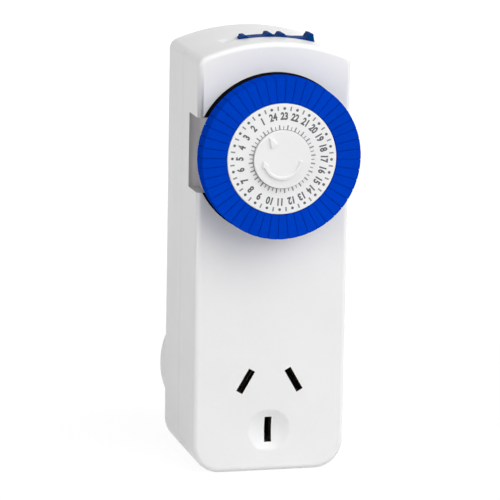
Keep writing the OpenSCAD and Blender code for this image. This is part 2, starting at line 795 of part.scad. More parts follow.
module motor_can() {
    color(steel) {
        difference() {
            rod(motor_r, cover_back_y + 0.02, can_back_y, rotor_at[0], motor_z);
            rod(motor_r - can_t, cover_back_y - 1, can_back_y - can_t, rotor_at[0], motor_z);
            rod(shaft_r + run_fit, cover_back_y, can_back_y + 1, rotor_at[0], motor_z);
            // Window for the two leads
            block([coil_exit_x - 0.9, bobbin_front_y + 2.6, motor_z - motor_r - 1],
                  [neutral_exit_x + 0.9, bobbin_front_y + 5.4, motor_z - motor_r + 2.4]);
        }
        claw_ring(0, cover_back_y + 2, can_back_y - can_t / 2);
    }
}

module motor_cover() {
    color(steel) {
        difference() {
            rod(motor_r, plate_back_y + 0.02, cover_back_y, rotor_at[0], motor_z);
            rod(shaft_way_r + 0.1, plate_back_y - 1, cover_back_y + 1, rotor_at[0], motor_z);
        }
        claw_ring(180 / claws, cover_back_y - eps, can_back_y - can_t - 1.2);
    }
}

module coil_bobbin() {
    flange = 0.6;
    color(dial_white) difference() {
        rod(bobbin_out_r, bobbin_front_y, bobbin_back_y, rotor_at[0], motor_z);
        rod(bobbin_in_r, bobbin_front_y - 1, bobbin_back_y + 1, rotor_at[0], motor_z);
        difference() {
            rod(bobbin_out_r + 1, bobbin_front_y + flange, bobbin_back_y - flange, rotor_at[0], motor_z);
            rod(bobbin_in_r + 0.6, bobbin_front_y, bobbin_back_y, rotor_at[0], motor_z);
        }
    }
}

module coil_winding() {
    inner = bobbin_in_r + 0.62;
    color(copper) difference() {
        rod(bobbin_out_r - 0.5, bobbin_front_y + 0.62, bobbin_back_y - 0.62, rotor_at[0], motor_z);
        rod(inner, bobbin_front_y, bobbin_back_y, rotor_at[0], motor_z);
    }
}

// Lead ends: where each leaves the coil
coil_exit_x = rotor_at[0] - 3.4;
neutral_exit_x = rotor_at[0] + 3.6;

module lead(points, r) {
    $fn = 20;
    for (k = [0:len(points) - 2]) {
        span = points[k + 1] - points[k];
        length = norm(span);
        translate(points[k]) rotate([0, acos(span[2] / length), atan2(span[1], span[0])])
            cylinder(r = r, h = length);
    }
    for (p = points) translate(p) sphere(r * 1.08);
}

module coil_leads() {
    lead_r = 0.55;
    exit_y = bobbin_front_y + 4;
    start_z = motor_z - motor_r + 1.4;
    strip_front_y = pin_root_y - 0.05 - strip_t;
    neutral_x = poles[NEUTRAL][0] + 2.6;
    color(dark) {
        lead([[coil_exit_x, exit_y, start_z], [coil_exit_x, exit_y, start_z - 4],
              [coil_exit_x, strip_front_y - lead_r - 0.05, start_z - 8],
              [coil_exit_x, strip_front_y - lead_r - 0.05, start_z - 14]], lead_r);
        lead([[neutral_exit_x, exit_y, start_z], [neutral_exit_x, exit_y, start_z - 4],
              [neutral_x, contact_back_y + 2.5, start_z - 12],
              [neutral_x, contact_back_y + 2.5, poles[NEUTRAL][1] + 3.2]], lead_r);
    }
}

module rotor_magnet() {
    color(dark) difference() {
        rod(magnet_r, cover_back_y + 0.8, can_back_y - can_t - 0.8, rotor_at[0], motor_z);
        rod(shaft_r, cover_back_y, can_back_y, rotor_at[0], motor_z);
    }
}

// ---- Gear train ----

// Tooth shape: addendum and dedendum in modules, then half widths at tip, pitch and root,
// each as a part of half the pitch
pinion_form = [1.0, 1.25, 0.22, 0.40, 0.42];
wheel_form = [0.8, 1.25, 0.20, 0.42, 0.60];

function tooth_points(teeth, m, form, centre) =
    let (r = m * teeth / 2, half = 180 / teeth,
         rings = [[r - form[1] * m, -form[4]], [r, -form[3]], [r + form[0] * m, -form[2]],
                  [r + form[0] * m, form[2]], [r, form[3]], [r - form[1] * m, form[4]]])
    [for (p = rings) [p[0] * cos(centre + p[1] * half), p[0] * sin(centre + p[1] * half)]];

// first is the direction of one tooth, anticlockwise from X
module toothed(teeth, m, form, first) {
    polygon([for (k = [0:teeth - 1]) each tooth_points(teeth, m, form, first + k * 360 / teeth)]);
}

// Direction of a tooth that meets the middle of a gap on the line of centres
function pinion_first(k) = heading(arbors[k], arbors[k + 1]);
function wheel_first(k, teeth) = heading(arbors[k], arbors[k - 1]) + 180 / teeth;

module rotor_pinion() {
    color(steel) translate([rotor_at[0], 0, motor_z]) {
        along_y(layer_back(0) - wheel_t, layer_back(0) + 0.6)
            toothed(pinion_teeth, fine_module, pinion_form, pinion_first(0));
        rod(shaft_r, layer_back(0), can_back_y + 0.6);
    }
}

// One moulded wheel and pinion of the train; k counts from the rotor
module gear(k) {
    front = layer_back(k - 1) - wheel_t;
    next_m = k == stages ? drive_module : fine_module;
    color(nylon) translate([arbors[k][0], 0, dial_z + arbors[k][1]]) difference() {
        union() {
            along_y(front, layer_back(k - 1))
                toothed(wheel_teeth[k - 1], fine_module, wheel_form, wheel_first(k, wheel_teeth[k - 1]));
            along_y(front - layer_pitch - 0.1, front + eps)
                toothed(pinion_teeth, next_m, pinion_form, pinion_first(k));
        }
        rod(stud_r + run_fit, front - 3, layer_back(k - 1) + 1);
    }
}

module first_gear() {
    gear(1);
}

module second_gear() {
    gear(2);
}

module third_gear() {
    gear(3);
}

module fourth_gear() {
    gear(4);
}

module fifth_gear() {
    gear(5);
}

module gear_studs() {
    color(steel) for (k = [1:stages]) {
        tip_y = layer_back(k - 1) - wheel_t - layer_pitch - 0.2;
        rod(stud_r, tip_y, plate_back_y, arbors[k][0], dial_z + arbors[k][1]);
        rod(stud_shoulder_r, layer_back(k - 1) + 0.05, plate_front_y - 0.02,
            arbors[k][0], dial_z + arbors[k][1]);
    }
}

module drive_wheel() {
    color(nylon) translate([0, 0, dial_z]) difference() {
        along_y(drive_front_y, drive_back_y)
            toothed(drive_teeth, drive_module, wheel_form, wheel_first(stages + 1, drive_teeth));
        rod(hub_r + run_fit, drive_front_y - 1, drive_back_y + 1);
    }
}

// ---- Dial ----

module clutch_spring() {
    color(steel) along_y(drive_back_y + 0.05, drive_back_y + 0.05 + spring_t) translate([0, dial_z])
    difference() {
        circle(spring_r);
        circle(hub_r);
        for (k = [0:5]) rotate(60 * k) translate([hub_r + 1, -0.4]) square([spring_r, 0.8]);
    }
}

module dial_post() {
    color(steel) difference() {
        rod(post_r, disc_front_y + 0.15, plate_back_y, 0, dial_z);
        rod(post_bore_r, disc_front_y - 1, disc_front_y + post_bore_len, 0, dial_z);
    }
}

module dial_carrier() {
    drum_r = disc_r - 0.2;
    bore_r = post_r + run_fit;
    color(case_white) difference() {
        union() {
            rod(flange_r, flange_front_y, flange_back_y, 0, dial_z);
            rod(drum_r, disc_front_y + disc_t, flange_front_y + eps, 0, dial_z);
            rod(hub_shoulder_r, flange_back_y - eps, drive_front_y - 0.05, 0, dial_z);
            rod(hub_r, drive_front_y - 0.1, hub_end_y, 0, dial_z);
        }
        difference() {
            rod(drum_r - 1.6, disc_front_y, flange_front_y - eps, 0, dial_z);
            rod(hub_r, disc_front_y - 1, flange_front_y, 0, dial_z);
        }
        rod(bore_r, disc_front_y, hub_end_y + 1, 0, dial_z);
        // A guide slot for each tappet's leg
        for (k = [0:half_hours - 1]) at_dial(number_zero_angle + (k + 0.5) * tappet_pitch)
            block([-leg_w / 2 - slide_fit * 0.7, flange_front_y - 1, leg_r - leg_depth / 2 - slide_fit],
                  [leg_w / 2 + slide_fit * 0.7, flange_back_y + 1, leg_r + leg_depth / 2 + slide_fit]);
    }
}

module number_disc() {
    spigot_r = disc_r - 1.95;
    color(dial_white) difference() {
        union() {
            rod(disc_r, disc_front_y, disc_front_y + disc_t, 0, dial_z);
            rod(spigot_r, disc_front_y + disc_t - eps, disc_front_y + disc_t + 1, 0, dial_z);
        }
        rod(spigot_r - 1.2, disc_front_y + disc_t, disc_front_y + disc_t + 2, 0, dial_z);
        rod(post_r + 0.3, disc_front_y - 1, disc_front_y + disc_t + 1, 0, dial_z);
    }
}

// Fixed centre disc, with a small raised pointer and a raised turning arrow
module pointer_cap() {
    cap_back_y = disc_front_y - 0.1;
    cap_front_y = cap_back_y - 0.8;
    mark_y = cap_front_y - 0.5;
    arrow_r = 5.15;
    arrow_half = 0.42;
    arrow_from = 95;
    arrow_to = 248;
    color(dial_white) {
        rod(cap_r, cap_front_y, cap_back_y, 0, dial_z);
        rod(post_bore_r - 0.02, cap_back_y - eps, disc_front_y + post_bore_len - 1, 0, dial_z);
        // Pointer
        at_dial(pointer_angle) along_y(mark_y, cap_front_y + eps)
            polygon([[0, 7.4], [-1.1, 4.4], [1.1, 4.4]]);
        // Turning arrow: its bar and its head
        along_y(mark_y, cap_front_y + eps) translate([0, dial_z]) {
            arc_bar(arrow_r - arrow_half, arrow_r + arrow_half, arrow_from, arrow_to + 1);
            rotate(-arrow_to) translate([0, arrow_r]) polygon([[0, -1], [0, 1], [1.7, 0]]);
        }
    }
}

// One tappet: wedge head, outer skirt and the leg that passes through the carrier
module tappet(angle) {
    half = tappet_pitch / 2 - tappet_gap / 2 / ring_r * 180 / PI;
    along_y(ring_front_y, ring_front_y + head_t) translate([0, dial_z])
        arc_bar(head_in_r, ring_r, angle - half, angle + half);
    along_y(ring_front_y + head_t - eps, skirt_end_y) translate([0, dial_z])
        arc_bar(skirt_in_r, ring_r, angle - half, angle + half);
    at_dial(angle) block([-leg_w / 2, ring_front_y + head_t - eps, leg_r - leg_depth / 2],
                         [leg_w / 2, leg_end_y, leg_r + leg_depth / 2]);
}

// The two half hour tappets that follow one hour mark
module hour_tappets(hour) {
    mark = number_zero_angle - 15 * hour;
    color(blue) for (k = [0, 1]) tappet(mark - (k + 0.5) * tappet_pitch);
}

front_housing();
rear_housing();
housing_screws();
inner_chassis();
live_pins();
earth_pin();
pin_sleeves();
pin_block();
active_clip();
neutral_clip();
earth_clip();
supply_strip();
fixed_contact();
timer_leaf();
override_leaf();
follower_pin();
override_slider();
motor_can();
motor_cover();
coil_bobbin();
coil_winding();
coil_leads();
rotor_magnet();
rotor_pinion();
first_gear();
second_gear();
third_gear();
fourth_gear();
fifth_gear();
gear_studs();
drive_wheel();
clutch_spring();
dial_post();
dial_carrier();
number_disc();
pointer_cap();
for (hour = [0:HOURS - 1]) hour_tappets(hour);
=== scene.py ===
"""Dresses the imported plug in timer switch: its shells, dial, prints, plug and metal parts.

The classes hold their sizes in millimetres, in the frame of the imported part: X runs to the
right as seen from the dial, Y runs into the wall and Z is up. A level is a place along Y. A
mesh is worked on in millimetres and brought to metres when it becomes a piece.
"""
import json
import logging
import math
from dataclasses import dataclass, field
from enum import Enum
from typing import Mapping, Optional, Sequence, Union

import bmesh
import bpy
from mathutils import Matrix, Vector


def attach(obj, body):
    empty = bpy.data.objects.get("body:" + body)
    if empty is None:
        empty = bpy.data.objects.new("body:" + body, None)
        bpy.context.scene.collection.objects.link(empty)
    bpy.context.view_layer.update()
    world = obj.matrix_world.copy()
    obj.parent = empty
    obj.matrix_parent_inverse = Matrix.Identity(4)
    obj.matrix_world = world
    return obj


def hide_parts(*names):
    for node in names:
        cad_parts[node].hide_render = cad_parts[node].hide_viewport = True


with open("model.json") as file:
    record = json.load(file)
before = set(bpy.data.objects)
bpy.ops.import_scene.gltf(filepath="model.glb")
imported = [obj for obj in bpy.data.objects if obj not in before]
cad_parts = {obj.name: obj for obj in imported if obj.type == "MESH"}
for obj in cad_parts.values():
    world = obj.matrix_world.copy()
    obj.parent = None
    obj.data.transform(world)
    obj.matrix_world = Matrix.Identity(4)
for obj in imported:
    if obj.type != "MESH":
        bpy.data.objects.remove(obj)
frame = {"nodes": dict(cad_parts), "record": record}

LOG = logging.getLogger("timer")
MM = 0.001
SOCKET_CLIPS = ("active_clip", "neutral_clip", "earth_clip")

Pair = tuple[float, float]
Triple = tuple[float, float, float]
Colour = tuple[float, float, float, float]


class Body(Enum):
    """The moving groups that the new pieces ride on."""

    CASE = "case"
    DIAL = "dial"
    SLIDER = "override_slider"


class Slot(Enum):
    """The record's material slots."""

    CASE_WHITE = "case_white"
    DIAL_WHITE = "dial_white"
    TAPPET_BLUE = "tappet_blue"
    SLIDER_BLUE = "slider_blue"
    NYLON = "nylon"
    DARK_PLASTIC = "dark_plastic"
    BRASS = "brass"
    STEEL = "steel"
    FERRITE = "ferrite"
    COPPER = "copper"


class Carve(Enum):
    """What a second solid does to the first."""

    TRIM = "INTERSECT"
    JOIN = "UNION"
    CUT = "DIFFERENCE"


# ---- Shader expressions ----


class Signal:
    """A shader socket that Python's arithmetic works on."""

    def __init__(self, graph: "Graph", socket: bpy.types.NodeSocket) -> None:
        """Keeps the socket and the graph that it belongs to."""
        self.graph = graph
        self.socket = socket

    def _join(self, operation: str, first: "Value", second: "Value") -> "Signal":
        """Adds one Math node on two values."""
        return self.graph.add("ShaderNodeMath", {"operation": operation}, {0: first, 1: second})

    def __add__(self, other: "Value") -> "Signal":
        """The sum of two values."""
        return self._join("ADD", self, other)

    def __radd__(self, other: "Value") -> "Signal":
        """The sum, with the number on the left."""
        return self._join("ADD", other, self)

    def __sub__(self, other: "Value") -> "Signal":
        """The difference of two values."""
        return self._join("SUBTRACT", self, other)

    def __rsub__(self, other: "Value") -> "Signal":
        """The difference, with the number on the left."""
        return self._join("SUBTRACT", other, self)

    def __mul__(self, other: "Value") -> "Signal":
        """The product of two values."""
        return self._join("MULTIPLY", self, other)

    def __rmul__(self, other: "Value") -> "Signal":
        """The product, with the number on the left."""
        return self._join("MULTIPLY", other, self)

    def __pow__(self, other: "Value") -> "Signal":
        """The value raised to a power."""
        return self._join("POWER", self, other)

    def sine(self) -> "Signal":
        """The sine of the value in radians."""
        return self._join("SINE", self, 0.0)


Value = Union[Signal, float, Triple, Colour]
Settings = Mapping[str, object]
Sockets = Mapping[Union[int, str], Value]
Owner = Union[bpy.types.Material, bpy.types.World]
WHITE: Colour = (1.0, 1.0, 1.0, 1.0)
NOISE_MEAN = 0.5


class Graph:
    """The node tree of one material or world."""

    MIX_FACTOR = 0
    MIX_A = 6
    MIX_B = 7
    MIX_RESULT = 2

    def __init__(self, owner: Owner) -> None:
        """Empties the node tree.

        Args:
            owner: the material or world that the tree belongs to.
        """
        owner.use_nodes = True
        self.owner = owner
        self.tree = owner.node_tree
        self.tree.nodes.clear()

    @classmethod
    def of_material(cls, name: str) -> "Graph":
        """Starts a new material of this name."""
        return cls(bpy.data.materials.new(name))

    def node(
        self, kind: str, settings: Optional[Settings] = None, inputs: Optional[Sockets] = None,
    ) -> bpy.types.Node:
        """Adds one node, which is the only way that the tree gets one.

        Args:
            kind: the node's type.
            settings: its properties, such as a Math node's operation.
            inputs: a value or a signal for each socket, by name or by number.

        Returns:
            The node.
        """
        node = self.tree.nodes.new(kind)
        for name, value in (settings or {}).items():
            setattr(node, name, value)
        for key, value in (inputs or {}).items():
            socket = node.inputs[key]
            if isinstance(value, Signal):
                self.tree.links.new(value.socket, socket)
            else:
                socket.default_value = value
        return node

    def add(
        self,
        kind: str,
        settings: Optional[Settings] = None,
        inputs: Optional[Sockets] = None,
        output: Union[int, str] = 0,
    ) -> Signal:
        """Adds one node, and gives what comes out of the socket that output names."""
        return Signal(self, self.node(kind, settings, inputs).outputs[output])

    def place(self, stretch: Triple = (1.0, 1.0, 1.0)) -> Signal:
        """The point on the piece in millimetres.

        Args:
            stretch: factors along X, Y and Z; below 1 draws a pattern out along that axis.

        Returns:
            The place as a vector.
        """
        point = self.add("ShaderNodeTexCoord", output="Object")
        scale = tuple(factor / MM for factor in stretch)
        return self.add("ShaderNodeMapping", inputs={"Vector": point, "Scale": scale})

    def noise(self, place: Signal, size: float, detail: float = 2.0) -> Signal:
        """Noise from 0 to 1 with patches of a size in millimetres, and detail finer layers."""
        inputs = {"Vector": place, "Scale": 1.0 / size, "Detail": detail}
        return self.add("ShaderNodeTexNoise", inputs=inputs)

    def band(self, value: Signal, low: float, high: float) -> Signal:
        """Spreads a value smoothly and holds it at both ends.

        Args:
            value: what is spread.
            low: where the result is 0.
            high: where the result is 1.

        Returns:
            The spread value.
        """
        settings = {"interpolation_type": "SMOOTHSTEP", "clamp": True}
        inputs = {"Value": value, "From Min": low, "From Max": high}
        return self.add("ShaderNodeMapRange", settings, inputs)

    def mix(self, factor: Value, first: Union[Signal, Triple], second: Union[Signal, Triple]) -> Signal:
        """A colour between two others.

        Args:
            factor: 0 for the first, 1 for the second.
            first: a colour or a signal.
            second: a colour or a signal.

        Returns:
            The colour.
        """
        ends = [value if isinstance(value, Signal) else (*value, 1.0) for value in (first, second)]
        inputs = {self.MIX_FACTOR: factor, self.MIX_A: ends[0], self.MIX_B: ends[1]}
        return self.add("ShaderNodeMix", {"data_type": "RGBA"}, inputs, self.MIX_RESULT)

    def bump(self, height: Signal, depth: float, under: Optional[Signal] = None) -> Signal:
        """A normal that follows a height.

        Args:
            height: the height, from 0 to 1.
            depth: what 1 stands for, in millimetres.
            under: a coarser bump that this one lies on.

        Returns:
            The normal.
        """
        inputs: Sockets = {"Distance": depth * MM, "Height": height}
        if under is not None:
            inputs = {**inputs, "Normal": under}
        return self.add("ShaderNodeBump", inputs=inputs, output="Normal")

    def close(self, surface: Signal, kind: str = "ShaderNodeOutputMaterial") -> Owner:
        """Joins a shader to the tree's output, and gives the finished material or world."""
        self.node(kind, inputs={"Surface": surface})
        return self.owner

    def principled(self, inputs: Sockets) -> bpy.types.Material:
        """Finishes the material with the standard shader, on values or signals for its sockets."""
        return self.close(self.add("ShaderNodeBsdfPrincipled", inputs=inputs))


def toned(colour: Triple, factor: float) -> Triple:
    """A colour made lighter or darker by a factor, and no more than white."""
    return tuple(min(1.0, part * factor) for part in colour)


# ---- Finishes ----


@dataclass(frozen=True)
class Moulding:
    """Moulded plastic: the grain of its tool, flow clouds and handling marks.

    Args:
        name: the material's name.
        colour: the plastic's colour.
        roughness: its mean roughness.
        grain: the size of the tool's grain in millimetres.
        relief: the depth of that grain in millimetres.
        mottle: how far the colour wanders.
        handling: how far the roughness wanders.
        gloss: the strength of its highlights.
        cloud_size: the size of a flow cloud in millimetres.
        speck_size: the size of a colour speck in millimetres.
        cloud_share: how much of the colour's wandering the clouds make.
        tone_band: the noise that gives the darkest tone, and the lightest.
        smear_size: the width of a handling mark in millimetres.
        smear_stretch: factors that draw the handling marks out upwards.
        ripple_size: the width of a sink ripple in millimetres.
        ripple_relief: how much deeper a ripple is than the grain.
        grain_sheen: how far the grain alone changes the roughness.
    """

    name: str
    colour: Triple
    roughness: float = 0.4
    grain: float = 0.3
    relief: float = 0.004
    mottle: float = 0.015
    handling: float = 0.07
    gloss: float = 0.4
    cloud_size: float = 17.0
    speck_size: float = 0.9
    cloud_share: float = 0.75
    tone_band: Pair = (0.3, 0.7)
    smear_size: float = 6.0
    smear_stretch: Triple = (1.0, 1.0, 0.35)
    ripple_size: float = 9.0
    ripple_relief: float = 9.0
    grain_sheen: float = 0.06

    def material(self) -> bpy.types.Material:
        """Builds the finish.

        Returns:
            The material.
        """
        graph = Graph.of_material(self.name)
        place = graph.place()
        cloud = graph.noise(place, self.cloud_size, detail=3.0)
        speck = graph.noise(place, self.speck_size)
        blend = cloud * self.cloud_share + speck * (1 - self.cloud_share)
        tone = graph.band(blend, *self.tone_band)
        dark, light = toned(self.colour, 1 - self.mottle), toned(self.colour, 1 + self.mottle)
        smear = graph.noise(graph.place(self.smear_stretch), self.smear_size, detail=4.0) - NOISE_MEAN
        grain = graph.noise(place, self.grain)
        ripple = graph.noise(place, self.ripple_size, detail=1.0)
        waves = graph.bump(ripple, self.relief * self.ripple_relief)
        sheen = smear * (2 * self.handling) + (grain - NOISE_MEAN) * self.grain_sheen
        return graph.principled({
            "Base Color": graph.mix(tone, dark, light),
            "Roughness": sheen + self.roughness,
            "Normal": graph.bump(grain, self.relief, waves),
            "Specular IOR Level": self.gloss,
        })


@dataclass(frozen=True)
class Sheet:
    """Rolled or turned metal: fine lines, and a thin cloud of tarnish.

    Args:
        name: the material's name.
        colour: the bare metal.
        tarnish: the colour of its dull patches.
        roughness: its mean roughness.
        lines: factors that draw the lines out along an axis.
        dulling: how much of it is tarnished, from 0 to 1.
        line_size: the width of a line in millimetres.
        line_relief: the depth of a line in millimetres.
        line_sheen: how far the lines change the roughness.
        patch_size: the size of a tarnished patch in millimetres.
        patch_band: the noise where a patch starts, and where it is full.
        patch_matt: how much rougher a patch is.
    """

    name: str
    colour: Triple
    tarnish: Triple
    roughness: float = 0.26
    lines: Triple = (1.0, 0.06, 1.0)
    dulling: float = 0.35
    line_size: float = 0.16
    line_relief: float = 0.006
    line_sheen: float = 0.22
    patch_size: float = 3.2
    patch_band: Pair = (0.45, 0.75)
    patch_matt: float = 0.25

    def material(self) -> bpy.types.Material:
        """Builds the finish.

        Returns:
            The material.
        """
        graph = Graph.of_material(self.name)
        scratch = graph.noise(graph.place(self.lines), self.line_size, detail=3.0)
        cloud = graph.noise(graph.place(), self.patch_size, detail=4.0)
        patch = graph.band(cloud, *self.patch_band) * self.dulling
        sheen = patch * self.patch_matt + (scratch - NOISE_MEAN) * self.line_sheen
        return graph.principled({
            "Base Color": graph.mix(patch, self.colour, self.tarnish),
            "Roughness": sheen + self.roughness,
            "Metallic": 1.0,
            "Normal": graph.bump(scratch, self.line_relief),
        })


@dataclass(frozen=True)
class Ink:
    """Pad print on the dial: nearly solid ink with a slightly open edge and pinholes.

    Args:
        name: the material's name.
        colour: the ink.
        ground: the plastic under it.
        cover: how much of the plastic it hides, from 0 to 1.
        roughness: its roughness where it is thick.
        gloss: the strength of its highlights.
        hole_size: the size of a pinhole in millimetres.
        hole_band: the noise where a pinhole starts, and where it is open.
        hole_share: how much of the ink an open pinhole lacks.
        cloud_size: the size of a thinner patch in millimetres.
        cloud_share: how much of the ink such a patch lacks.
        cloud_matt: how much rougher the ink gets where it lacks some.
        tooth_size: the size of the dried ink's tooth in millimetres.
        tooth_relief: the depth of that tooth in millimetres.
    """

    name: str
    colour: Triple
    ground: Triple
    cover: float = 0.95
    roughness: float = 0.5
    gloss: float = 0.3
    hole_size: float = 0.11
    hole_band: Pair = (0.62, 0.74)
    hole_share: float = 0.5
    cloud_size: float = 1.4
    cloud_share: float = 0.08
    cloud_matt: float = 1.5
    tooth_size: float = 0.08
    tooth_relief: float = 0.002

    def material(self) -> bpy.types.Material:
        """Builds the finish.

        Returns:
            The material.
        """
        graph = Graph.of_material(self.name)
        place = graph.place()
        hole = graph.band(graph.noise(place, self.hole_size, detail=3.0), *self.hole_band)
        cloud = graph.noise(place, self.cloud_size) * self.cloud_share
        thin = hole * self.hole_share + cloud + (1 - self.cover)
        return graph.principled({
            "Base Color": graph.mix(thin, self.colour, self.ground),
            "Roughness": cloud * self.cloud_matt + self.roughness,
            "Normal": graph.bump(graph.noise(place, self.tooth_size), self.tooth_relief),
            "Specular IOR Level": self.gloss,
        })


@dataclass(frozen=True)
class Ferrite:
    """Pressed magnet: dark grains with a few bright ones.

    Args:
        name: the material's name.
        colour: the dark grains.
        spark: the bright ones.
        grain: the size of a grain in millimetres.
        relief: how far the grains stand out, in millimetres.
        spark_band: the noise where a bright grain starts, and where it is full.
        spark_polish: how much smoother a bright grain is.
        roughness: the roughness of the dark grains.
        gloss: the strength of its highlights.
    """

    name: str
    colour: Triple
    spark: Triple
    grain: float = 0.12
    relief: float = 0.012
    spark_band: Pair = (0.63, 0.72)
    spark_polish: float = 0.25
    roughness: float = 0.62
    gloss: float = 0.4

    def material(self) -> bpy.types.Material:
        """Builds the finish.

        Returns:
            The material.
        """
        graph = Graph.of_material(self.name)
        grains = graph.noise(graph.place(), self.grain, detail=3.0)
        bright = graph.band(grains, *self.spark_band)
        return graph.principled({
            "Base Color": graph.mix(bright, self.colour, self.spark),
            "Roughness": self.roughness - bright * self.spark_polish,
            "Normal": graph.bump(grains, self.relief),
            "Specular IOR Level": self.gloss,
        })


@dataclass(frozen=True)
class WireTurns:
    """Enamelled wire wound round the Y axis, turn beside turn, with painted shade in the grooves between
    turns.

    Args:
        name: the material's name.
        colour: the wire's crown, its own colour.
        shade: the painted shade in the groove between two turns.
        pitch: the distance from turn to turn in millimetres.
        drift_size: the size of a change of tone in millimetres.
        drift_stretch: factors that draw these changes out along the turns.
        drift_share: how much of the tone they make.
        drift_matt: how far they change the roughness.
        roughness: the least roughness.
        metallic: how metallic the enamel lets it look.
        round_share: how far a turn stands out, as a share of the pitch.
    """

    name: str
    colour: Triple
    shade: Triple
    pitch: float = 0.16
    drift_size: float = 0.8
    drift_stretch: Triple = (0.4, 1.0, 0.4)
    drift_share: float = 0.3
    drift_matt: float = 0.15
    roughness: float = 0.3
    metallic: float = 0.75
    round_share: float = 0.4

    def material(self) -> bpy.types.Material:
        """Builds the finish.

        Returns:
            The material.
        """
        graph = Graph.of_material(self.name)
        along = graph.add("ShaderNodeSeparateXYZ", inputs={0: graph.place()}, output="Y")
        turn = (along * (math.tau / self.pitch)).sine() * 0.5 + 0.5
        drift = graph.noise(graph.place(self.drift_stretch), self.drift_size, detail=3.0)
        # Painted shade: the colour falls to the shade colour in each groove, mixed with a random drift of
        # tone.
        tone = turn * (1 - self.drift_share) + drift * self.drift_share
        return graph.principled({
            "Base Color": graph.mix(tone, self.shade, self.colour),
            "Roughness": self.roughness + drift * self.drift_matt,
            "Metallic": self.metallic,
            "Normal": graph.bump(turn, self.pitch * self.round_share),
        })


class Palette:
    """One material for each slot of the record, each painted shade and each print, made once."""

    FINISHES = {
        Slot.CASE_WHITE: Moulding("Housing ABS white", (0.78, 0.78, 0.78), roughness=0.38, gloss=0.42),
        Slot.DIAL_WHITE: Moulding(
            "Dial ABS white", (0.775, 0.775, 0.778), roughness=0.36, grain=0.2, relief=0.0025, gloss=0.3,
        ),
        Slot.TAPPET_BLUE: Moulding(
            "Tappet acetal blue", (0.0, 0.044, 0.475), roughness=0.5, mottle=0.06, gloss=0.0,
        ),
        Slot.SLIDER_BLUE: Moulding(
            "Override acetal navy", (0.0005, 0.034, 0.165), roughness=0.5, mottle=0.06, gloss=0.02,
        ),
        Slot.NYLON: Moulding("Nylon natural", (0.74, 0.71, 0.62), roughness=0.48, grain=0.4, gloss=0.35),
        Slot.DARK_PLASTIC: Moulding(
            "Insulation black", (0.012, 0.012, 0.014), roughness=0.5, grain=0.25, mottle=0.1, gloss=0.35,
        ),
        Slot.BRASS: Sheet("Brass strip", (0.81, 0.62, 0.27), (0.5, 0.35, 0.15)),
        Slot.STEEL: Sheet(
            "Steel plated", (0.6, 0.61, 0.63), (0.36, 0.37, 0.38), roughness=0.3, lines=(0.08, 1.0, 1.0),
        ),
        Slot.FERRITE: Ferrite("Ferrite magnet", (0.022, 0.021, 0.021), (0.16, 0.15, 0.15)),
        Slot.COPPER: WireTurns("Enamelled wire", (0.72, 0.3, 0.12), (0.28, 0.09, 0.03)),
    }
    # Painted shade: the notch walls are the case's white plastic drawn mid grey, as the shade in the
    # recess.
    NOTCH_PAINTED_SHADE = Moulding("Housing ABS painted notch shade", (0.42, 0.405, 0.415), roughness=0.5, gloss=0.2)
    # Painted shade: the slot walls and the well under the dial's ring are drawn black, as the shade in the
    # slots and the shadow under the ring.
    SLOT_AND_WELL_PAINTED_SHADE = Moulding("Slot and well painted shade black", (0.006, 0.006, 0.007), roughness=0.7, gloss=0.05)
    # Painted shade: the socket's brass clips are drawn dark bronze, as the shade deep in the slots.
    CLIP = Sheet("Clip brass darkened as painted shade", (0.045, 0.036, 0.024), (0.02, 0.016, 0.012), roughness=0.55)
    PLATE = (0.815, 0.815, 0.82)
    NUMERAL_INK = Ink("Dial ink dark", (0.035, 0.035, 0.04), PLATE)
    TICK_INK = Ink("Dial ink tick", (0.13, 0.13, 0.135), PLATE, cover=0.9)

    def __init__(self) -> None:
        """Builds the materials."""
        self.slots = {slot: finish.material() for slot, finish in self.FINISHES.items()}
        self.notch_painted_shade = self.NOTCH_PAINTED_SHADE.material()
        self.slot_and_well_painted_shade = self.SLOT_AND_WELL_PAINTED_SHADE.material()
        self.clip = self.CLIP.material()
        self.numeral_ink = self.NUMERAL_INK.material()
        self.tick_ink = self.TICK_INK.material()

    def dress_nodes(self) -> None:
        """Gives every CAD node the material of its slot, and the socket's brass clips a dark one as
        painted shade inside the slots.
        """
        for row in frame["record"]["subparts"]:
            in_socket = row["node"] in SOCKET_CLIPS
            material = self.clip if in_socket else self.slots[Slot(row["material_slot"])]
            for place in frame["nodes"][row["node"]].material_slots:
                place.material = material


# ---- Mesh work ----

SOLID_WELD = 0.002  # corners of a CAD solid nearer than this many millimetres are one
SOLID_SLIVER = 0.001
CUT_WELD = 0.0005  # the same after a cut
PRINT_WELD = 0.001  # and in a print
CUT_REACH = 1.0  # how far a solid that cuts reaches past what it cuts
LEVEL_REACH = 0.001
ROUND_STEPS = 144
RIM_STEPS = 6
UPRIGHT = Matrix.Rotation(math.pi / 2, 4, "X")


@dataclass(frozen=True)
class Placing:
    """What a finished piece is called, rides on and stands for.

    Args:
        name: the piece's name.
        body: the moving group that it rides on.
        slot: the record's slot that its finish comes from; not used.
        stands_for: the CAD nodes that it takes the place of.
        sharp: edges bent by more than this many degrees stay sharp in the shading.
    """

    name: str
    body: str
    slot: Slot
    stands_for: tuple[str, ...] = ()
    sharp: float = 40.0


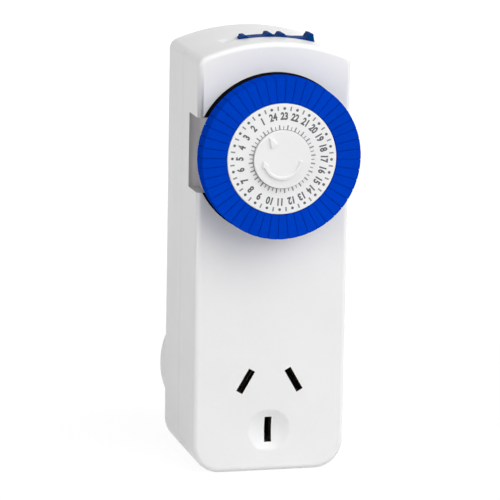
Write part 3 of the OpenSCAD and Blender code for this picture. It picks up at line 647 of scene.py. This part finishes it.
def finished(bm: bmesh.types.BMesh, placing: Placing, *finishes: bpy.types.Material) -> bpy.types.Object:
    """Turns a mesh in millimetres into a piece in metres.

    Args:
        bm: the mesh, which is used up; its edges that aren't smooth stay sharp.
        placing: the piece's name, body and slot.
        finishes: its finish, and any others that its faces are numbered for.

    Returns:
        The piece.
    """
    bmesh.ops.scale(bm, vec=(MM, MM, MM), verts=bm.verts)
    mesh = bpy.data.meshes.new(placing.name)
    bm.edges.index_update()
    creases = [edge.index for edge in bm.edges if not edge.smooth]
    bm.to_mesh(mesh)
    bm.free()
    for finish in finishes:
        mesh.materials.append(finish)
    mesh.shade_smooth()
    mesh.set_sharp_from_angle(angle=math.radians(placing.sharp))
    for index in creases:
        mesh.edges[index].use_edge_sharp = True
    piece = bpy.data.objects.new(placing.name, mesh)
    bpy.context.scene.collection.objects.link(piece)
    weights = piece.modifiers.new("Even shading", "WEIGHTED_NORMAL")
    weights.keep_sharp = True
    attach(piece, placing.body)
    if placing.stands_for:
        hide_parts(*placing.stands_for)
    LOG.info("%s: %d faces, rides on %s", placing.name, len(mesh.polygons), placing.body)
    return piece


def solid_copy(node: str) -> bmesh.types.BMesh:
    """A CAD node as one joined mesh in millimetres.

    Args:
        node: the node's name.

    Returns:
        The mesh.
    """
    bm = bmesh.new()
    bm.from_mesh(frame["nodes"][node].data)
    bmesh.ops.scale(bm, vec=(1 / MM, 1 / MM, 1 / MM), verts=bm.verts)
    bmesh.ops.remove_doubles(bm, verts=bm.verts, dist=SOLID_WELD)
    bmesh.ops.dissolve_degenerate(bm, edges=bm.edges, dist=SOLID_SLIVER)
    return bm


def eased(node: str, radius: float, segments: int = 2) -> bmesh.types.BMesh:
    """A CAD node's shape with its sharp outer edges rounded.

    Args:
        node: the node's name.
        radius: the size of the rounding in millimetres.
        segments: the number of faces across it.

    Returns:
        The mesh.
    """
    bm = solid_copy(node)
    flat, sharp = math.radians(0.5), math.radians(35)
    bmesh.ops.dissolve_limit(
        bm, angle_limit=flat, verts=bm.verts, edges=bm.edges, use_dissolve_boundaries=False,
    )
    outer = [
        edge for edge in bm.edges
        if edge.is_manifold and edge.is_convex and edge.calc_face_angle(0.0) > sharp
    ]
    bmesh.ops.bevel(
        bm, geom=outer, offset=radius, offset_type="OFFSET", segments=segments, profile=0.5,
        affect="EDGES", clamp_overlap=True, material=-1,
    )
    return bm


def as_object(bm: bmesh.types.BMesh, name: str) -> bpy.types.Object:
    """Puts a mesh into the scene as it is.

    Args:
        bm: the mesh, which is used up.
        name: the object's name.

    Returns:
        The object.
    """
    mesh = bpy.data.meshes.new(name)
    bm.to_mesh(mesh)
    bm.free()
    made = bpy.data.objects.new(name, mesh)
    bpy.context.scene.collection.objects.link(made)
    return made


def carved(base: bmesh.types.BMesh, steps: Sequence[tuple[Carve, bmesh.types.BMesh]]) -> bmesh.types.BMesh:
    """Cuts or trims one solid by others.

    Args:
        base: the solid, which is used up.
        steps: what is done, one after the other, and the solid for each, which is used up.

    Returns:
        The result.
    """
    body = as_object(base, "body in work")
    tools = []
    for operation, tool in steps:
        other = as_object(tool, "tool")
        cut = body.modifiers.new("cut", "BOOLEAN")
        cut.operation = operation.value
        cut.solver = "EXACT"
        cut.object = other
        tools.append(other)
    graph = bpy.context.evaluated_depsgraph_get()
    mesh = bpy.data.meshes.new_from_object(body.evaluated_get(graph))
    result = bmesh.new()
    result.from_mesh(mesh)
    for done in [body, *tools]:
        old = done.data
        bpy.data.objects.remove(done)
        bpy.data.meshes.remove(old)
    bpy.data.meshes.remove(mesh)
    bmesh.ops.remove_doubles(result, verts=result.verts, dist=CUT_WELD)
    bmesh.ops.dissolve_degenerate(result, edges=result.edges, dist=CUT_WELD)
    return result


def rim_edges(bm: bmesh.types.BMesh, level: float) -> list[bmesh.types.BMEdge]:
    """The edges that lie at one level along Y."""
    return [edge for edge in bm.edges if all(abs(v.co.y - level) < LEVEL_REACH for v in edge.verts)]


def disc(radius: float, low: float, high: float, z: float = 0.0) -> bmesh.types.BMesh:
    """A round block along Y.

    Args:
        radius: its radius.
        low: its near end.
        high: its far end.
        z: the height of its axis.

    Returns:
        The mesh.
    """
    bm = bmesh.new()
    place = Matrix.Translation((0.0, (low + high) / 2, z)) @ UPRIGHT
    bmesh.ops.create_cone(
        bm, cap_ends=True, segments=ROUND_STEPS, radius1=radius, radius2=radius,
        depth=high - low, matrix=place,
    )
    return bm


def rounded_drum(radius: float, low: float, high: float, rounding: float) -> bmesh.types.BMesh:
    """A round block along Y whose far rim is rounded.

    Args:
        radius: its radius.
        low: its near end.
        high: its far end, the rounded one.
        rounding: the radius of the rim.

    Returns:
        The mesh.
    """
    bm = disc(radius, low, high)
    bmesh.ops.bevel(
        bm, geom=rim_edges(bm, high), offset=rounding, segments=RIM_STEPS, profile=0.5,
        affect="EDGES", material=-1,
    )
    bmesh.ops.recalc_face_normals(bm, faces=bm.faces)
    return bm


# ---- The case ----


@dataclass(frozen=True)
class CaseOutline:
    """The case seen from the front: straight sides, an arched top and two round lower corners."""

    width: float = 43.2
    height: float = 120.8
    foot: float = -22.1
    arch: float = 54.0  # the radius of the top
    shoulder: float = 3.0  # the radius between the top and a side
    corner: float = 8.0  # the radius of a lower corner
    arch_steps: int = 40
    shoulder_steps: int = 12
    corner_steps: int = 20
    fine_rim: float = 0.5  # a rim rounding up to this size takes fewer faces
    fine_rim_steps: int = 2

    @staticmethod
    def _arc(
        bm: bmesh.types.BMesh, start: bmesh.types.BMVert, centre: Pair, turn: float, steps: int,
    ) -> bmesh.types.BMVert:
        """Carries the outline on round an arc, anticlockwise as seen from the dial.

        Args:
            bm: the mesh.
            start: the outline's last corner.
            centre: the arc's centre, x and z.
            turn: the angle in degrees.
            steps: the number of edges.

        Returns:
            The new last corner.
        """
        made = bmesh.ops.spin(
            bm, geom=[start], cent=(centre[0], start.co.y, centre[1]), axis=(0.0, 1.0, 0.0),
            dvec=(0.0, 0.0, 0.0), angle=-math.radians(turn), steps=steps, use_duplicate=False,
        )
        return next(part for part in made["geom_last"] if isinstance(part, bmesh.types.BMVert))

    @staticmethod
    def _straight(
        bm: bmesh.types.BMesh, start: bmesh.types.BMVert, x: float, z: float,
    ) -> bmesh.types.BMVert:
        """Carries the outline straight on.

        Args:
            bm: the mesh.
            start: the outline's last corner.
            x: where the straight stretch ends, across.
            z: where it ends, upwards.

        Returns:
            The new last corner.
        """
        made = bmesh.ops.extrude_vert_indiv(bm, verts=[start])["verts"][0]
        made.co.x = x
        made.co.z = z
        return made

    def block(
        self, inset: float, low: float, high: float, near: float = 0.0, far: float = 0.0,
    ) -> bmesh.types.BMesh:
        """A block of the case's outline.

        Args:
            inset: how far it lies inside the outline.
            low: its near end along Y.
            high: its far end.
            near: the rounding of its near rim.
            far: the rounding of its far rim.

        Returns:
            The mesh.
        """
        half = self.width / 2
        centre_z = self.foot + self.height - self.arch
        shoulder_x = half - self.shoulder
        rise = math.sqrt((self.arch - self.shoulder) ** 2 - shoulder_x**2)
        shoulder_z = centre_z + rise
        lean = math.degrees(math.atan2(rise, shoulder_x))
        corner_x = half - self.corner
        corner_z = self.foot + self.corner
        bm = bmesh.new()
        first = bm.verts.new((corner_x, low, self.foot + inset))
        last = self._arc(bm, first, (corner_x, corner_z), 90, self.corner_steps)
        last = self._straight(bm, last, half - inset, shoulder_z)
        last = self._arc(bm, last, (shoulder_x, shoulder_z), lean, self.shoulder_steps)
        last = self._arc(bm, last, (0.0, centre_z), 180 - 2 * lean, self.arch_steps)
        last = self._arc(bm, last, (-shoulder_x, shoulder_z), lean, self.shoulder_steps)
        last = self._straight(bm, last, inset - half, corner_z)
        last = self._arc(bm, last, (-corner_x, corner_z), 90, self.corner_steps)
        bmesh.ops.contextual_create(bm, geom=[last, first])
        bmesh.ops.edgeloop_fill(bm, edges=bm.edges)
        grown = bmesh.ops.extrude_face_region(bm, geom=list(bm.faces))["geom"]
        far_end = [part for part in grown if isinstance(part, bmesh.types.BMVert)]
        bmesh.ops.translate(bm, vec=(0.0, high - low, 0.0), verts=far_end)
        bmesh.ops.recalc_face_normals(bm, faces=bm.faces)
        for level, radius in ((low, near), (high, far)):
            if radius > 0:
                steps = RIM_STEPS if radius > self.fine_rim else self.fine_rim_steps
                bmesh.ops.bevel(
                    bm, geom=rim_edges(bm, level), offset=radius, segments=steps, profile=0.5,
                    affect="EDGES", material=-1,
                )
        return bm


@dataclass
class CaseShells:
    """The two white shells, with the rounded rims that the moulding has."""

    palette: Palette
    outline: CaseOutline = field(default_factory=CaseOutline)
    front: float = -44.0  # the level of the front face
    seam: float = -26.0  # the level of the joint between the shells
    rear: float = -8.0  # the level of the back
    skin: float = 0.02  # taken off all round, so that the shells stay inside their solids
    front_rim: float = 1.5
    rear_rim: float = 1.2
    seam_rim: float = 0.3
    seam_gap: float = 0.05  # the shadow line between the shells
    tongue_inset: float = 1.05  # the rear shell's tongue lies this far inside the outline
    tongue_reach: float = 6.0  # in front of the joint
    tongue_root: float = 4.0  # behind the joint
    plug_radius: float = 21.3
    plug_rim: float = 1.1
    plug_root: float = 3.0  # the plug base's drum starts this far inside the case
    plug_joint: float = 2.0  # its side meets the case's rim no further in than this
    wall: float = 2.0
    slot_size: Pair = (7.2, 2.0)
    poles: tuple[Triple, ...] = ((-6.859, 3.96, 30.0), (6.859, 3.96, -30.0), (0.0, -10.31, 0.0))
    notch_x: Pair = (18.5, 21.5)
    notch_z: Pair = (57.4, 78.4)
    notch_depth: float = 10.0
    dial_z: float = 67.9
    # the well is a shallow recess whose faces carry the black painted shadow under the dial's ring
    well_radius: float = 22.6
    well_depth: float = 0.3
    touch: float = 0.03  # a face's middle this near to a surface counts as on it
    side_touch: float = 0.1  # the same on the plug base's round side
    sharp: float = 32.0  # edges bent by more than this many degrees stay sharp

    def in_notch(self, place: Vector) -> bool:
        """Says whether a face lines one of the finger notches, whose walls get a grey painted shade.

        Args:
            place: the face's middle.

        Returns:
            True on the walls of a notch.
        """
        across = self.notch_x[0] < abs(place.x) < self.notch_x[1]
        upwards = self.notch_z[0] < place.z < self.notch_z[1]
        inwards = self.well_depth < place.y - self.front < self.notch_depth + 2 * self.touch
        return across and upwards and inwards

    def in_slot(self, place: Vector) -> bool:
        """Says whether a face lines one of the socket slots, whose walls get black painted shade.

        Args:
            place: the face's middle.

        Returns:
            True on the walls of a slot.
        """
        if not self.touch < place.y - self.front < self.wall + self.touch:
            return False
        length, width = self.slot_size
        for x, z, tilt in self.poles:
            local = Matrix.Rotation(-math.radians(tilt), 3, "Y") @ (place - Vector((x, 0.0, z)))
            if abs(local.x) < width / 2 + self.touch and abs(local.z) < length / 2 + self.touch:
                return True
        return False

    def in_well(self, place: Vector) -> bool:
        """Says whether a face with this middle lines the shallow well under the dial's ring, which gets a
        black painted shadow.
        """
        level = self.touch < place.y - self.front < self.well_depth + self.touch
        return level and math.hypot(place.x, place.z - self.dial_z) < self.well_radius + self.touch

    def lining(self, place: Vector) -> int:
        """The number of the finish for a face with this middle: case white, grey painted shade in a notch,
        or black painted shade in a slot or the well.
        """
        dark = self.in_well(place) or self.in_slot(place)
        return 2 if dark else int(self.in_notch(place))

    def front_shell(self) -> bpy.types.Object:
        """The front shell, with its sockets, dish, notches, track and the well under the dial, and painted
        shade in the notches, slots and well.

        Returns:
            The piece.
        """
        limits = self.outline.block(
            self.skin, self.front + self.skin / 2, self.seam, self.front_rim, self.seam_rim,
        )
        well = disc(
            self.well_radius, self.front - CUT_REACH, self.front + self.well_depth, self.dial_z,
        )
        shape = carved(solid_copy("front_housing"), [(Carve.TRIM, limits), (Carve.CUT, well)])
        # Painted shade: faces in the notches get grey, and faces in the slots and the well get black.
        for face in shape.faces:
            face.material_index = self.lining(face.calc_center_median())
        white = self.palette.slots[Slot.CASE_WHITE]
        placing = Placing("front_shell", Body.CASE.value, Slot.CASE_WHITE, ("front_housing",), self.sharp)
        return finished(shape, placing, white, self.palette.notch_painted_shade, self.palette.slot_and_well_painted_shade)

    def on_plug_side(self, place: Vector) -> bool:
        """Says whether a face with this middle lies on the round side of the plug base."""
        off_side = abs(math.hypot(place.x, place.z) - self.plug_radius)
        return place.y > self.rear - self.plug_joint and off_side < self.side_touch

    def rear_shell(self) -> bpy.types.Object:
        """The rear shell, with its plug base and screw wells.

        Returns:
            The piece.
        """
        back = self.outline.block(
            self.skin, self.seam + self.seam_gap, self.rear - self.skin / 2, self.seam_rim, self.rear_rim,
        )
        tongue = self.outline.block(
            self.tongue_inset, self.seam - self.tongue_reach, self.seam + self.tongue_root,
        )
        base = rounded_drum(
            self.plug_radius - self.skin, self.rear - self.plug_root, -self.skin / 2, self.plug_rim,
        )
        limits = carved(back, [(Carve.JOIN, tongue), (Carve.JOIN, base)])
        shape = carved(solid_copy("rear_housing"), [(Carve.TRIM, limits)])
        for edge in shape.edges:
            sides = {self.on_plug_side(face.calc_center_median()) for face in edge.link_faces}
            if len(sides) == 2 and edge.verts[0].co.y < self.rear + 2 * self.plug_rim:
                edge.smooth = False
        placing = Placing("rear_shell", Body.CASE.value, Slot.CASE_WHITE, ("rear_housing",), self.sharp)
        return finished(shape, placing, self.palette.slots[Slot.CASE_WHITE])

    def build(self) -> None:
        """Builds both shells."""
        self.front_shell()
        self.rear_shell()


# ---- The dial ----


@dataclass
class Dial:
    """The turning dial: tappets, number plate, prints, and the fixed cap in its middle."""

    palette: Palette
    axis_z: float = 67.9
    plate_front: float = -52.7
    first_angle: float = -13.2  # the last hour's mark, in degrees clockwise from the top
    hours: int = 24
    numeral_radius: float = 11.86
    numeral_height: float = 2.0
    numeral_narrowing: float = 0.78
    numeral_bold: float = 0.125
    figure_share: float = 0.73  # a figure's height as a share of the typeface's size
    curve_steps: int = 3  # the edges between two points of a figure's curves
    dot_circle: float = 13.95  # for the dots and the half hour ticks
    dot_radius: float = 0.4
    dot_steps: int = 14
    tick_size: Pair = (0.42, 1.2)  # width and length
    ring_inner: float = 8.07
    ring_ticks: tuple[Pair, Pair] = ((0.24, 1.05), (0.38, 1.35))  # at the hours, at the half hours
    ring_line: float = 0.14
    ink_depth: float = 0.012
    ink_sink: float = 0.003  # how deep the print sits in the plate
    tappet_ease: float = 0.14
    plate_ease: float = 0.25
    cap_ease: float = 0.16
    rib_radii: Pair = (19.0, 22.1)
    rib_width: float = 0.1
    rib_shift: float = 0.02  # a rib stands this far beside the gap's middle
    rib_depth: float = 1.9
    rib_level: float = -51.3

    @property
    def print_level(self) -> float:
        """The level of the print's middle along Y."""
        return self.plate_front - self.ink_depth / 2 + self.ink_sink

    def at(self, angle: float, radius: float) -> Matrix:
        """A place on the plate's front.

        Args:
            angle: degrees clockwise from the top.
            radius: millimetres from the axis.

        Returns:
            The matrix that carries a print there, drawn upright at the origin.
        """
        axis = Matrix.Translation((0.0, self.print_level, self.axis_z))
        turn = Matrix.Rotation(math.radians(angle), 4, "Y")
        return axis @ turn @ Matrix.Translation((0.0, 0.0, radius))

    def hour_angle(self, hour: float) -> float:
        """The angle of an hour's mark; the numbers fall clockwise."""
        return self.first_angle - 360.0 / self.hours * hour

    def printed(self, bm: bmesh.types.BMesh, name: str, ink: bpy.types.Material) -> None:
        """Finishes one print, which turns with the dial."""
        finished(bm, Placing(name, Body.DIAL.value, Slot.DIAL_WHITE), ink)

    def tappets(self) -> None:
        """The two half hour tappets of every hour."""
        for hour in range(self.hours):
            node = f"hour_{hour:02d}_tappets"
            placing = Placing(f"hour_{hour:02d}_wedges", self.body_of(node), Slot.TAPPET_BLUE, (node,))
            wedges = eased(node, self.tappet_ease)
            for gap in (0.0, 0.5):
                self.rib(wedges, self.hour_angle(hour + gap))
            finished(wedges, placing, self.palette.slots[Slot.TAPPET_BLUE])

    def rib(self, bm: bmesh.types.BMesh, angle: float) -> None:
        """Adds the thin rib that hides the gap between two tappets from the front.

        Args:
            bm: the mesh that takes it.
            angle: the gap's angle in degrees clockwise from the top.
        """
        low, high = self.rib_radii
        axis = Matrix.Translation((0.0, self.rib_level, self.axis_z))
        turn = Matrix.Rotation(math.radians(angle), 4, "Y")
        offset = Matrix.Translation((-self.rib_shift, 0.0, (low + high) / 2))
        size = Matrix.Diagonal((self.rib_width, self.rib_depth, high - low, 1.0))
        bmesh.ops.create_cube(bm, size=1.0, matrix=axis @ turn @ offset @ size)

    @staticmethod
    def body_of(node: str) -> str:
        """The moving group that a CAD node belongs to."""
        bodies = frame["record"]["behaviour"]["bodies"]
        return next(body for body, members in bodies.items() if node in members)

    def number_plate(self) -> None:
        """The white plate, with its rim rounded."""
        placing = Placing("number_plate", Body.DIAL.value, Slot.DIAL_WHITE, ("number_disc",))
        plate = eased("number_disc", self.plate_ease, 4)
        finished(plate, placing, self.palette.slots[Slot.DIAL_WHITE])

    def numeral(self, number: int) -> bpy.types.Mesh:
        """One number as a thin solid, upright at the origin.

        Args:
            number: the number.

        Returns:
            Its mesh in millimetres, facing the front.
        """
        curve = bpy.data.curves.new("numeral", "FONT")
        curve.body = str(number)
        curve.size = self.numeral_height / self.figure_share
        curve.extrude = self.ink_depth / 2
        curve.offset = self.numeral_bold
        curve.resolution_u = self.curve_steps
        drawn = bpy.data.objects.new("numeral", curve)
        bpy.context.scene.collection.objects.link(drawn)
        graph = bpy.context.evaluated_depsgraph_get()
        mesh = bpy.data.meshes.new_from_object(drawn.evaluated_get(graph))
        bpy.data.objects.remove(drawn)
        bpy.data.curves.remove(curve)
        low = Vector([min(v.co[i] for v in mesh.vertices) for i in range(3)])
        high = Vector([max(v.co[i] for v in mesh.vertices) for i in range(3)])
        narrow = Matrix.Diagonal((self.numeral_narrowing, 1.0, 1.0, 1.0))
        mesh.transform(UPRIGHT @ narrow @ Matrix.Translation(-(low + high) / 2))
        return mesh

    def numerals(self) -> None:
        """The numbers 1 to 24, tops outwards."""
        bm = bmesh.new()
        for number in range(1, self.hours + 1):
            mesh = self.numeral(number)
            mesh.transform(self.at(self.hour_angle(number), self.numeral_radius))
            bm.from_mesh(mesh)
            bpy.data.meshes.remove(mesh)
        bmesh.ops.remove_doubles(bm, verts=bm.verts, dist=PRINT_WELD)
        bmesh.ops.recalc_face_normals(bm, faces=bm.faces)
        self.printed(bm, "hour_numerals", self.palette.numeral_ink)

    def dots(self) -> None:
        """A dot at every hour, outside the numbers."""
        bm = bmesh.new()
        for hour in range(self.hours):
            place = self.at(self.hour_angle(hour), self.dot_circle) @ UPRIGHT
            bmesh.ops.create_cone(
                bm, cap_ends=True, segments=self.dot_steps, radius1=self.dot_radius,
                radius2=self.dot_radius, depth=self.ink_depth, matrix=place,
            )
        self.printed(bm, "hour_dots", self.palette.numeral_ink)

    def tick(self, bm: bmesh.types.BMesh, angle: float, radius: float, size: Pair) -> None:
        """Adds one printed tick that points at the axis.

        Args:
            bm: the mesh that takes it.
            angle: degrees clockwise from the top.
            radius: the distance of its middle from the axis.
            size: its width, and its length along the radius.
        """
        width, length = size
        stretch = Matrix.Diagonal((width, self.ink_depth, length, 1.0))
        bmesh.ops.create_cube(bm, size=1.0, matrix=self.at(angle, radius) @ stretch)

    def half_hour_ticks(self) -> None:
        """A fine tick between each pair of dots."""
        bm = bmesh.new()
        for hour in range(self.hours):
            self.tick(bm, self.hour_angle(hour + 0.5), self.dot_circle, self.tick_size)
        self.printed(bm, "half_hour_ticks", self.palette.tick_ink)

    def clock_ring(self) -> None:
        """The ring of ticks round the cap, longer at the half hours, and its fine line."""
        bm = bmesh.new()
        for half_hour in range(2 * self.hours):
            size = self.ring_ticks[half_hour % 2]
            self.tick(bm, self.hour_angle(half_hour / 2), self.ring_inner + size[1] / 2, size)
        self.printed(bm, "clock_ring", self.palette.tick_ink)
        near, far = self.print_level - self.ink_depth / 2, self.print_level + self.ink_depth / 2
        line = disc(self.ring_inner + self.ring_line, near, far, self.axis_z)
        hole = disc(self.ring_inner, near - CUT_REACH, far + CUT_REACH, self.axis_z)
        self.printed(carved(line, [(Carve.CUT, hole)]), "clock_ring_line", self.palette.tick_ink)

    def cap(self) -> None:
        """The fixed cap with its pointer and turning arrow."""
        placing = Placing("turning_cap", Body.CASE.value, Slot.DIAL_WHITE, ("pointer_cap",))
        cap = eased("pointer_cap", self.cap_ease, 3)
        finished(cap, placing, self.palette.slots[Slot.DIAL_WHITE])

    def build(self) -> None:
        """Builds the dial from the outside in."""
        self.tappets()
        self.number_plate()
        self.numerals()
        self.dots()
        self.half_hour_ticks()
        self.clock_ring()
        self.cap()


# ---- Knob, plug pins and screws ----


@dataclass(frozen=True)
class EasedPart:
    """A CAD node that is shown with its edges rounded.

    Args:
        node: the node.
        name: the piece's name.
        body: the moving group that it rides on.
        slot: its finish.
        radius: the rounding in millimetres.
        segments: the faces across it.
    """

    node: str
    name: str
    body: Body
    slot: Slot
    radius: float
    segments: int = 2


@dataclass
class Fittings:
    """The smaller parts with eased edges: override knob, plug pins and case screws."""

    palette: Palette
    parts: tuple[EasedPart, ...] = (
        EasedPart("override_slider", "override_knob", Body.SLIDER, Slot.SLIDER_BLUE, 0.18, 3),
        EasedPart("live_pins", "live_blades", Body.CASE, Slot.BRASS, 0.12),
        EasedPart("earth_pin", "earth_blade", Body.CASE, Slot.BRASS, 0.12),
        EasedPart("housing_screws", "case_screws", Body.CASE, Slot.STEEL, 0.12),
    )

    def build(self) -> None:
        """Builds each part."""
        for part in self.parts:
            placing = Placing(part.name, part.body.value, part.slot, (part.node,))
            shape = eased(part.node, part.radius, part.segments)
            finished(shape, placing, self.palette.slots[part.slot])


# ---- Studio ----


@dataclass(frozen=True)
class Lamp:
    """A soft rectangular lamp.

    Args:
        name: its name.
        place: where it stands, in metres.
        size: its width in metres.
        power: its strength in watts.
    """

    name: str
    place: Triple
    size: float
    power: float

    def light(self, target: Vector) -> None:
        """Puts the lamp in the scene.

        Args:
            target: the point that it is aimed at, in metres.
        """
        data = bpy.data.lights.new(self.name, "AREA")
        data.shape = "SQUARE"
        data.size = self.size
        data.energy = self.power
        lamp = bpy.data.objects.new(self.name, data)
        lamp.location = self.place
        lamp.rotation_mode = "QUATERNION"
        lamp.rotation_quaternion = (target - Vector(self.place)).to_track_quat("-Z", "Y")
        bpy.context.scene.collection.objects.link(lamp)


@dataclass(frozen=True)
class Viewpoint:
    """The camera: where it looks from, and how long its lens is.

    Args:
        yaw: how far it stands to the left, in radians.
        pitch: how far above, in radians.
        roll: its roll, in radians.
        shift: where the picture's centre lies beside the origin, in millimetres, right and up.
        distance: how far away it stands, in millimetres.
        lens: the focal length in millimetres.
        sensor: the sensor's width in millimetres.
        origin_y: the level of the front face, which the camera looks at, in millimetres.
    """

    yaw: float = 0.25258
    pitch: float = 0.20543
    roll: float = 0.01822
    shift: Pair = (-5.376, 40.031)
    distance: float = 1000.0
    lens: float = 259.2
    sensor: float = 36.0
    origin_y: float = -44.0

    def place(self) -> bpy.types.Object:
        """Makes the camera.

        Returns:
            The camera.
        """
        along = Vector((
            math.sin(self.yaw) * math.cos(self.pitch),
            math.cos(self.yaw) * math.cos(self.pitch),
            -math.sin(self.pitch),
        ))
        level = Vector((math.cos(self.yaw), -math.sin(self.yaw), 0.0))
        upward = level.cross(along)
        right = level * math.cos(self.roll) + upward * math.sin(self.roll)
        up = upward * math.cos(self.roll) - level * math.sin(self.roll)
        aim = right * self.shift[0] + up * self.shift[1] + Vector((0.0, self.origin_y, 0.0))
        stand = aim - along * self.distance
        data = bpy.data.cameras.new("Camera")
        data.sensor_width = self.sensor
        data.lens = self.lens
        camera = bpy.data.objects.new("Camera", data)
        turn = Matrix((right, up, -along)).transposed().to_4x4()
        camera.matrix_world = Matrix.Translation(stand * MM) @ turn
        bpy.context.scene.collection.objects.link(camera)
        bpy.context.scene.camera = camera
        return camera


@dataclass
class Studio:
    """A pale floor, a white surround, five soft lamps and the camera."""

    floor_z: float = -22.2
    floor_half: float = 3.0  # metres
    floor_grey: float = 0.7
    floor_glow: float = 1.1  # how bright the floor is seen where nothing shades it
    floor_show: float = 0.15  # the share of its own shading that shows near the timer
    floor_near: Pair = (110.0, 300.0)  # where that share starts to fade and where it has gone
    surround: float = 0.05  # how bright the surround is as a light
    target: Triple = (0.0, -0.03, 0.04)  # what the lamps are aimed at, in metres
    lamps: tuple[Lamp, ...] = (
        Lamp("Key lamp", (1.15, -0.5, 0.85), 0.8, 5.4),
        Lamp("Front lamp", (0.6, -0.9, 0.75), 1.3, 14.4),
        Lamp("Side lamp", (-1.4, -0.45, 0.3), 0.9, 10.2),
        Lamp("Top lamp", (0.0, -0.35, 1.5), 1.0, 7.2),
        Lamp("Back lamp", (0.8, 1.4, 0.12), 0.4, 6.0),
    )
    viewpoint: Viewpoint = field(default_factory=Viewpoint)

    @staticmethod
    def seen(graph: Graph) -> Signal:
        """1 where a ray comes from the camera, a mirror or a clear piece.

        Args:
            graph: the node tree.

        Returns:
            The signal.
        """
        kinds = ("Is Camera Ray", "Is Glossy Ray", "Is Transmission Ray")
        rays = [graph.add("ShaderNodeLightPath", output=kind) for kind in kinds]
        settings = {"operation": "ADD", "use_clamp": True}
        return graph.add("ShaderNodeMath", settings, {0: rays[0] + rays[1], 1: rays[2]})

    def floor(self) -> None:
        """The floor that the timer stands on."""
        level = Matrix.Translation((0.0, 0.0, self.floor_z * MM))
        bm = bmesh.new()
        bmesh.ops.create_grid(bm, x_segments=1, y_segments=1, size=self.floor_half, matrix=level)
        floor = as_object(bm, "floor")
        graph = Graph.of_material("Studio floor")
        grey = (self.floor_grey, self.floor_grey, self.floor_grey, 1.0)
        pale = graph.add("ShaderNodeBsdfDiffuse", inputs={"Color": grey})
        glow = graph.add("ShaderNodeEmission", inputs={"Color": WHITE, "Strength": self.floor_glow})
        place = graph.place()
        x, y = (graph.add("ShaderNodeSeparateXYZ", inputs={0: place}, output=axis) for axis in "XY")
        near = 1 - graph.band((x * x + y * y) ** 0.5, *self.floor_near)
        factor = self.seen(graph) * (1 - near * self.floor_show)
        mixed = graph.add("ShaderNodeMixShader", inputs={0: factor, 1: pale, 2: glow})
        floor.data.materials.append(graph.close(mixed))

    def surround_light(self) -> None:
        """The white surround: full white where it is seen, softer as a light."""
        graph = Graph(bpy.data.worlds.new("Surround"))
        strength = self.seen(graph) * (1 - self.surround) + self.surround
        glow = graph.add("ShaderNodeBackground", inputs={"Color": WHITE, "Strength": strength})
        bpy.context.scene.world = graph.close(glow, "ShaderNodeOutputWorld")

    def build(self) -> None:
        """Sets the studio up."""
        bpy.context.scene.view_settings.view_transform = "Standard"
        self.floor()
        self.surround_light()
        for lamp in self.lamps:
            lamp.light(Vector(self.target))
        self.viewpoint.place()


def main() -> None:
    """Builds the dressed timer and the studio round it."""
    logging.basicConfig(level=logging.INFO, format="%(name)s: %(message)s")
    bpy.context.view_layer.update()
    palette = Palette()
    palette.dress_nodes()
    CaseShells(palette).build()
    Dial(palette).build()
    Fittings(palette).build()
    Studio().build()


if __name__ == "__main__":
    main()
